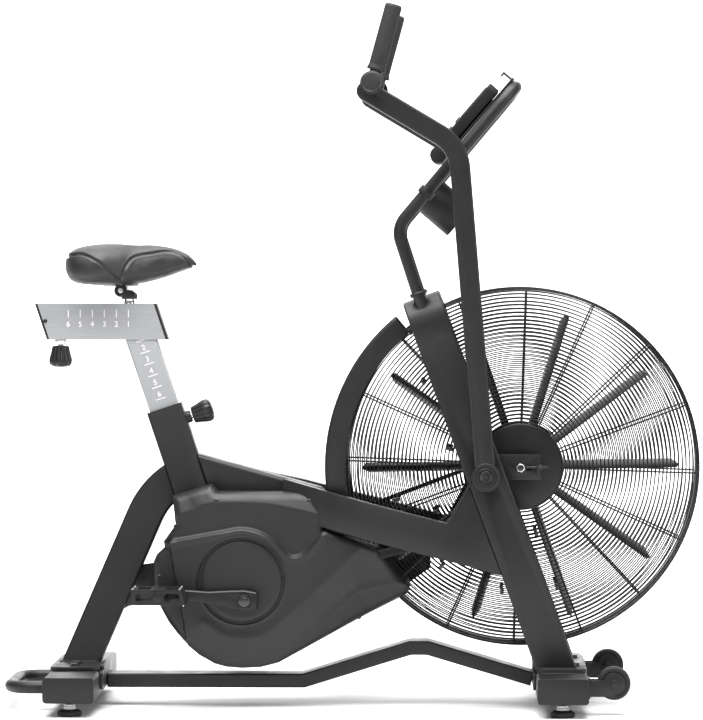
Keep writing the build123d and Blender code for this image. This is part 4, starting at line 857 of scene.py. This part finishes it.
marks = []
numerals = []
post_up = (-sin(post_lean), cos(post_lean))
for hand, s in hands:
    for i in range(6):
        along = 0.022 + 0.0245 * (5 - i)
        x, z = -0.379 + post_up[0] * along, 0.592 + post_up[1] * along
        y = s * 0.01988
        marks.append(mark(f"post_tick_{hand}_{i}", x, z, degrees(post_lean), y, (0.020, 0.0015)))
        numerals.append(mark(f"post_number_{hand}_{i}", x + post_up[0] * 0.0095, z + post_up[1] * 0.0095,
                             degrees(post_lean), y, (0.0150,), str(i + 1)))
    for i in range(6):
        x = -0.571 + 0.0241 * i
        y = s * 0.02205
        marks.append(mark(f"rail_tick_{hand}_{i}", x, 0.783, 90, y, (0.015, 0.0015)))
        numerals.append(mark(f"rail_number_{hand}_{i}", x, 0.7615, 0, y, (0.0155,), str(6 - i)))
keep(joined("scale_marks", marks + numerals), "seat_post", pale_ink, "brushed_steel")

# thin near-black sheet along the top of the rail: painted shade standing in for the shade inside the slot the post
# slides in
slot_dark = block("rail_slot_shadow", Vector((-0.51, 0, 0.7995)), (1, 0, 0), (0, 1, 0), (0, 0, 1),
                  (0.17, 0.024, 0.0012), 0)
keep(slot_dark, "seat_post", slot_shade_paint, "black_plastic")
rail_screws = [screw(f"rail_screw_{hand}", -0.617, s * 0.022, 0.768, s, 0.0042) for hand, s in hands]
keep(joined("rail_screws", rail_screws), "seat_post", dark_steel, "plated_steel")


# ------------------------------------------------------------------ console
slope = radians(49.3)
console_u = Vector((cos(slope), 0, sin(slope)))
console_n = Vector((-sin(slope), 0, cos(slope)))
console_at = Vector((0.196, 0, 1.152))


def on_console(along, out, y=0.0):
    return console_at + console_u * along + console_n * out + Vector((0, y, 0))


def screen_material():
    mat, tree, shade = shader("screen_glow")
    here = coords(tree)
    lines = add(tree, "ShaderNodeTexNoise", Scale=40.0, Detail=1.0)
    tree.links.new(here, lines.inputs["Vector"])
    tree.links.new(ramp(tree, lines.outputs["Fac"], (0.16, 0.34, 0.13), (0.26, 0.5, 0.2)), shade.inputs["Base Color"])
    shade.inputs["Emission Color"].default_value = (0.3, 0.85, 0.25, 1)
    shade.inputs["Emission Strength"].default_value = 0.35
    shade.inputs["Roughness"].default_value = 0.22
    return mat


screen_glow = screen_material()
segment_ink = coated("segment_ink", (0.02, 0.03, 0.02), 0.4, depth=0.00001)
screen = block("console_screen", on_console(0.066, -0.0004), console_u, (0, 1, 0), console_n,
               (0.068, 0.146, 0.0016), 0.0005)
keep(screen, "frame", screen_glow, "black_plastic")
digits = []
shapes = {"a": (0, 1, 0), "b": (0.5, 0.5, 1), "c": (0.5, -0.5, 1), "d": (0, -1, 0), "e": (-0.5, -0.5, 1),
          "f": (-0.5, 0.5, 1), "g": (0, 0, 0)}
for row, (along, size) in enumerate(((0.084, 0.006), (0.066, 0.006), (0.048, 0.006))):
    for col, y in enumerate((-0.058, -0.046, -0.034, 0.012, 0.024, 0.036, 0.048)):
        for key, (px, pz, upright) in shapes.items():
            if (row * 7 + col + ord(key)) % 4 == 0 and key != "g":
                continue
            p = on_console(along + pz * size, 0.0005, y + px * size)
            length, thick = size * 0.86, 0.0009
            digits.append(block(f"digit_{row}_{col}_{key}", p, console_u, (0, 1, 0), console_n,
                                (length if upright else thick, thick if upright else length, 0.0003), 0))
keep(joined("console_digits", digits), "frame", segment_ink, "black_plastic")
bezel = []
for along, y, size in ((0.066 + 0.0375, 0, (0.003, 0.156)), (0.066 - 0.0375, 0, (0.003, 0.156)),
                       (0.066, -0.0765, (0.078, 0.003)), (0.066, 0.0765, (0.078, 0.003))):
    bezel.append(block(f"bezel_{along}_{y}", on_console(along, 0.0006, y), console_u, (0, 1, 0), console_n,
                       (size[0], size[1], 0.0024), 0.001))
keep(joined("console_bezel", bezel), "frame", gloss_plastic, "black_plastic")


# ------------------------------------------------------------------ bolts, rings and welds
def bolt(name, origin, direction, radius, high, washer=0.0):
    """Hexagon bolt head with a chamfered top, on an optional washer."""
    u, v, w = axes_for(direction)
    origin = Vector(origin)
    bm = bmesh.new()
    rings = []
    base = 0.0012 if washer else 0.0
    for r, along in ((radius, base), (radius, base + high * 0.82), (radius * 0.86, base + high)):
        rings.append([bm.verts.new(origin + w * along + (u * cos(pi / 3 * k) + v * sin(pi / 3 * k)) * r)
                      for k in range(6)])
    for a, b in zip(rings, rings[1:]):
        for k in range(6):
            m = (k + 1) % 6
            bm.faces.new((a[k], a[m], b[m], b[k]))
    bm.faces.new(rings[0])
    bm.faces.new(rings[-1])
    head = bevelled(from_bmesh(name, bm), 0.0004, 2)
    if not washer:
        return head
    ring = lathe(name + "_washer", origin, direction, [(0.00005, 0), (washer, 0), (washer, 0.0009),
                 (washer - 0.0005, 0.0013), (0.00005, 0.0013)], 36)
    return joined(name + "_set", [head, ring])


def cap_ring(name, origin, direction, outer, inner, high):
    profile = [(inner, 0), (inner, high - 0.0006), (inner + 0.0006, high), (outer - 0.001, high), (outer, high - 0.001),
               (outer, 0)]
    return lathe(name, origin, direction, profile, 64, closed=True)


pivot = (0.2635, 0.4655)
for hand, s in hands:
    arm = f"{hand}_handlebar"
    face = s * 0.208
    parts = [cap_ring(f"a_{hand}", (pivot[0], face, pivot[1]), (0, s, 0), 0.0275, 0.0205, 0.0016),
             cap_ring(f"b_{hand}", (pivot[0], face, pivot[1]), (0, s, 0), 0.018, 0.0145, 0.0022)]
    keep(joined(f"{hand}_pivot_rings", parts), arm, paint, "frame_paint")
    hub = lathe(f"{hand}_pivot_hub", (pivot[0], s * 0.2085, pivot[1]), (0, s, 0),
                [(0.00005, -0.002), (0.0125, -0.002), (0.0125, 0.002), (0.0115, 0.003), (0.0062, 0.003), (0.0062, 0.0016),
                 (0.0034, 0.0016), (0.0034, 0.0034), (0.0028, 0.004), (0.00005, 0.004)], 48)
    keep(hub, arm, crank_black, "plated_steel")
    # crank end bolt
    bolt_parts = [bolt(f"crank_bolt_{hand}", (-0.213, s * 0.1398, 0.218), (0, s, 0), 0.0078, 0.005)]
    keep(joined(f"{hand}_crank_bolt", bolt_parts), "crank", dark_steel, "plated_steel")
    # fan axle nut
    nut = [bolt(f"axle_nut_{hand}", (fan[0], s * 0.1175, fan[1]), (0, s, 0), 0.0092, 0.0065)]
    keep(joined(f"{hand}_axle_nut", nut), "frame", steel, "plated_steel")
    # stabilizer plate bolts
    heads = []
    for x, y in ((-0.549, 0.075), (-0.549, 0.118), (0.385, 0.085), (0.441, 0.085)):
        heads.append(bolt(f"plate_bolt_{hand}_{x}_{y}", (x, s * y, 0.086), (0, 0, 1), 0.0085, 0.0052, 0.0115))
    keep(joined(f"{hand}_plate_bolts", heads), "frame", dark_steel, "plated_steel")


def weld(name, points, radius=0.0026, seed=1):
    """Weld bead with its ripples, along a line of points."""
    rng = random.Random(seed)
    line = []
    for a, b in zip(points, points[1:]):
        a, b = Vector(a), Vector(b)
        n = max(2, round((b - a).length / 0.0018))
        line += [a + (b - a) * k / n for k in range(n)]
    line.append(Vector(points[-1]))
    sizes = [radius * (0.86 + 0.2 * abs(sin(i * 0.95)) + 0.06 * rng.random()) for i in range(len(line))]
    bm = bmesh.new()
    sweep(bm, line, lambda i: sizes[i], 8)
    return from_bmesh(name, bm, 80)




def beam_height(x):
    return 0.398 - tan(radians(14.4)) * (x + 0.060)


beads = []
for hand, s in hands:
    y = s * 0.1495
    for k, (x0, x1) in enumerate(((0.190, 0.262),)):
        beads.append(weld(f"beam_weld_{hand}_{k}", [(*((x0,)), y, beam_height(x0) + 0.0375),
                                                    (x0 + 0.045, y, 0.4545)], 0.0024, k + 3))
    foot_x = 0.402
    beads.append(weld(f"foot_weld_{hand}", [(foot_x - 0.042, y, 0.0862), (foot_x + 0.038, y, 0.0862)], 0.003, 7))
for y in (-0.0265, 0.0265):
    beads.append(weld(f"leg_weld_{y}", [(-0.588, y, 0.0862), (-0.512, y, 0.0862)], 0.003, 9))
for x in (-0.587, -0.511):
    beads.append(weld(f"leg_weld_x_{x}", [(x, -0.026, 0.0862), (x, 0.026, 0.0862)], 0.003, 11))
keep(joined("weld_beads", beads), "frame", paint, "frame_paint")

# collars where the console tubes enter the crown
collars = []
for hand, s in hands:
    top = Vector((0.135, s * 0.128, 0.806))
    up = Vector((0.087 - 0.135, 0, 0.953 - 0.806)).normalized()
    collars.append(lathe(f"stem_collar_{hand}", top + up * 0.014, up, [(0.0121, 0), (0.0165, 0), (0.0165, 0.006),
                         (0.0145, 0.0085), (0.0121, 0.0085)], 48, closed=True))
keep(joined("stem_collars", collars), "frame", paint, "frame_paint")

# pedal treads and end caps
for hand, s in hands:
    angle = radians(175.4 if s < 0 else -4.6)
    px, pz = -0.213 + 0.165 * cos(angle), 0.218 + 0.165 * sin(angle)
    pins = []
    for side_sign in (-1, 1):
        for y in (0.148, 0.160, 0.172, 0.202, 0.214, 0.226):
            for dx in (-0.046, 0.046):
                lean_x = -0.004 * side_sign
                pins.append(lathe(f"pin_{hand}_{side_sign}_{y}_{dx}", (px + dx + lean_x, s * y, pz + side_sign * 0.0148),
                                  (0, 0, side_sign),
                                  [(0.00005, 0), (0.0019, 0), (0.0015, 0.0022), (0.00005, 0.0022)], 12))
    keep(joined(f"{hand}_pedal_pins", pins), f"{hand}_pedal", steel, "pedal_plastic")
    cap = lathe(f"{hand}_pedal_cap", (px, s * 0.2362, pz), (0, s, 0),
                [(0.00005, 0), (0.0098, 0), (0.009, 0.0012), (0.005, 0.0016),
                (0.00005, 0.0016)], 40)
    keep(cap, f"{hand}_pedal", gloss_plastic, "pedal_plastic")

# wheel hubs
for hand, s in hands:
    hub = []
    for t in (-1, 1):
        hub.append(lathe(f"hub_{hand}_{t}", (0.514, s * 0.190 + t * 0.0085, 0.0625), (0, t, 0),
                         [(0.0055, 0), (0.0195, 0), (0.0195, 0.0016), (0.0175, 0.0028), (0.010, 0.0028), (0.0088, 0.004),
                          (0.0055, 0.004)], 56, closed=True))
    keep(joined(f"{hand}_wheel_hub", hub), f"{hand}_wheel", steel, "wheel_tyre")

# white necks of the levelling feet
for row, x in (("rear", -0.549), ("front", 0.413)):
    for hand, s in hands:
        neck = lathe(f"{row}_{hand}_neck", (x, s * 0.238, 0.0142), (0, 0, 1),
                     [(0.0052, 0), (0.0125, 0), (0.0125, 0.004), (0.011, 0.0055), (0.011, 0.009), (0.0052, 0.009)],
                     40, closed=True)
        keep(neck, f"{row}_{hand}_foot", hub_white, "foot_rubber")


# ------------------------------------------------------------------ floor, light and camera
def stage_backdrop():
    """Pale floor that curves up into a plain wall far behind the object."""
    bm = bmesh.new()
    floor_end, bend = 9.5, 2.2
    profile = [(-16.0, 0.0), (floor_end, 0.0)]
    for i in range(1, 13):
        t = pi / 2 * i / 12
        profile.append((floor_end + bend * sin(t), bend - bend * cos(t)))
    profile.append((floor_end + bend, 12.0))
    rows = [[bm.verts.new((x, y, z)) for x in (-16, 16)] for y, z in profile]
    for a, b in zip(rows, rows[1:]):
        bm.faces.new((a[0], a[1], b[1], b[0]))
    obj = from_bmesh("backdrop", bm, 60)
    mat, tree, shade = shader("studio_paper")
    tree.links.new(ramp(tree, noise(tree, coords(tree), 0.8), (0.90, 0.90, 0.905), (0.93, 0.93, 0.93)),
                   shade.inputs["Base Color"])
    shade.inputs["Roughness"].default_value = 0.9
    obj.data.materials.append(mat)


def area_light(name, at, target, size, power, size_y=None):
    data = bpy.data.lights.new(name, "AREA")
    data.energy, data.size = power, size
    if size_y:
        data.shape, data.size_y = "RECTANGLE", size_y
    obj = bpy.data.objects.new(name, data)
    scene.collection.objects.link(obj)
    obj.location = at
    obj.rotation_euler = (Vector(target) - Vector(at)).to_track_quat("-Z", "Y").to_euler()


stage_backdrop()
area_light("top_light", (-0.2, -0.6, 3.4), (0, 0, 0.6), 3.2, 330)
area_light("front_light", (-1.8, -5.0, 2.6), (0, 0, 0.7), 2.6, 40)
area_light("side_light", (3.6, -1.6, 1.8), (0, 0, 0.7), 1.8, 50)
area_light("paper_light", (0, 6.0, 6.0), (0, 9.8, 0.8), 8.0, 1500)
world = bpy.data.worlds.new("studio")
world.use_nodes = True
world.node_tree.nodes["Background"].inputs["Color"].default_value = (1, 1, 1, 1)
world.node_tree.nodes["Background"].inputs["Strength"].default_value = 0.25
scene.world = world
scene.view_settings.view_transform = "Standard"

camera_data = bpy.data.cameras.new("camera")
camera_data.lens, camera_data.sensor_width = 212.5, 36
camera_data.clip_end = 60
camera = bpy.data.objects.new("camera", camera_data)
scene.collection.objects.link(camera)
camera.location = (0.226, -8.5, 0.896)
camera.rotation_euler = (Vector((-0.005, 0, 0.690)) - camera.location).to_track_quat("-Z", "Y").to_euler()
scene.camera = camera
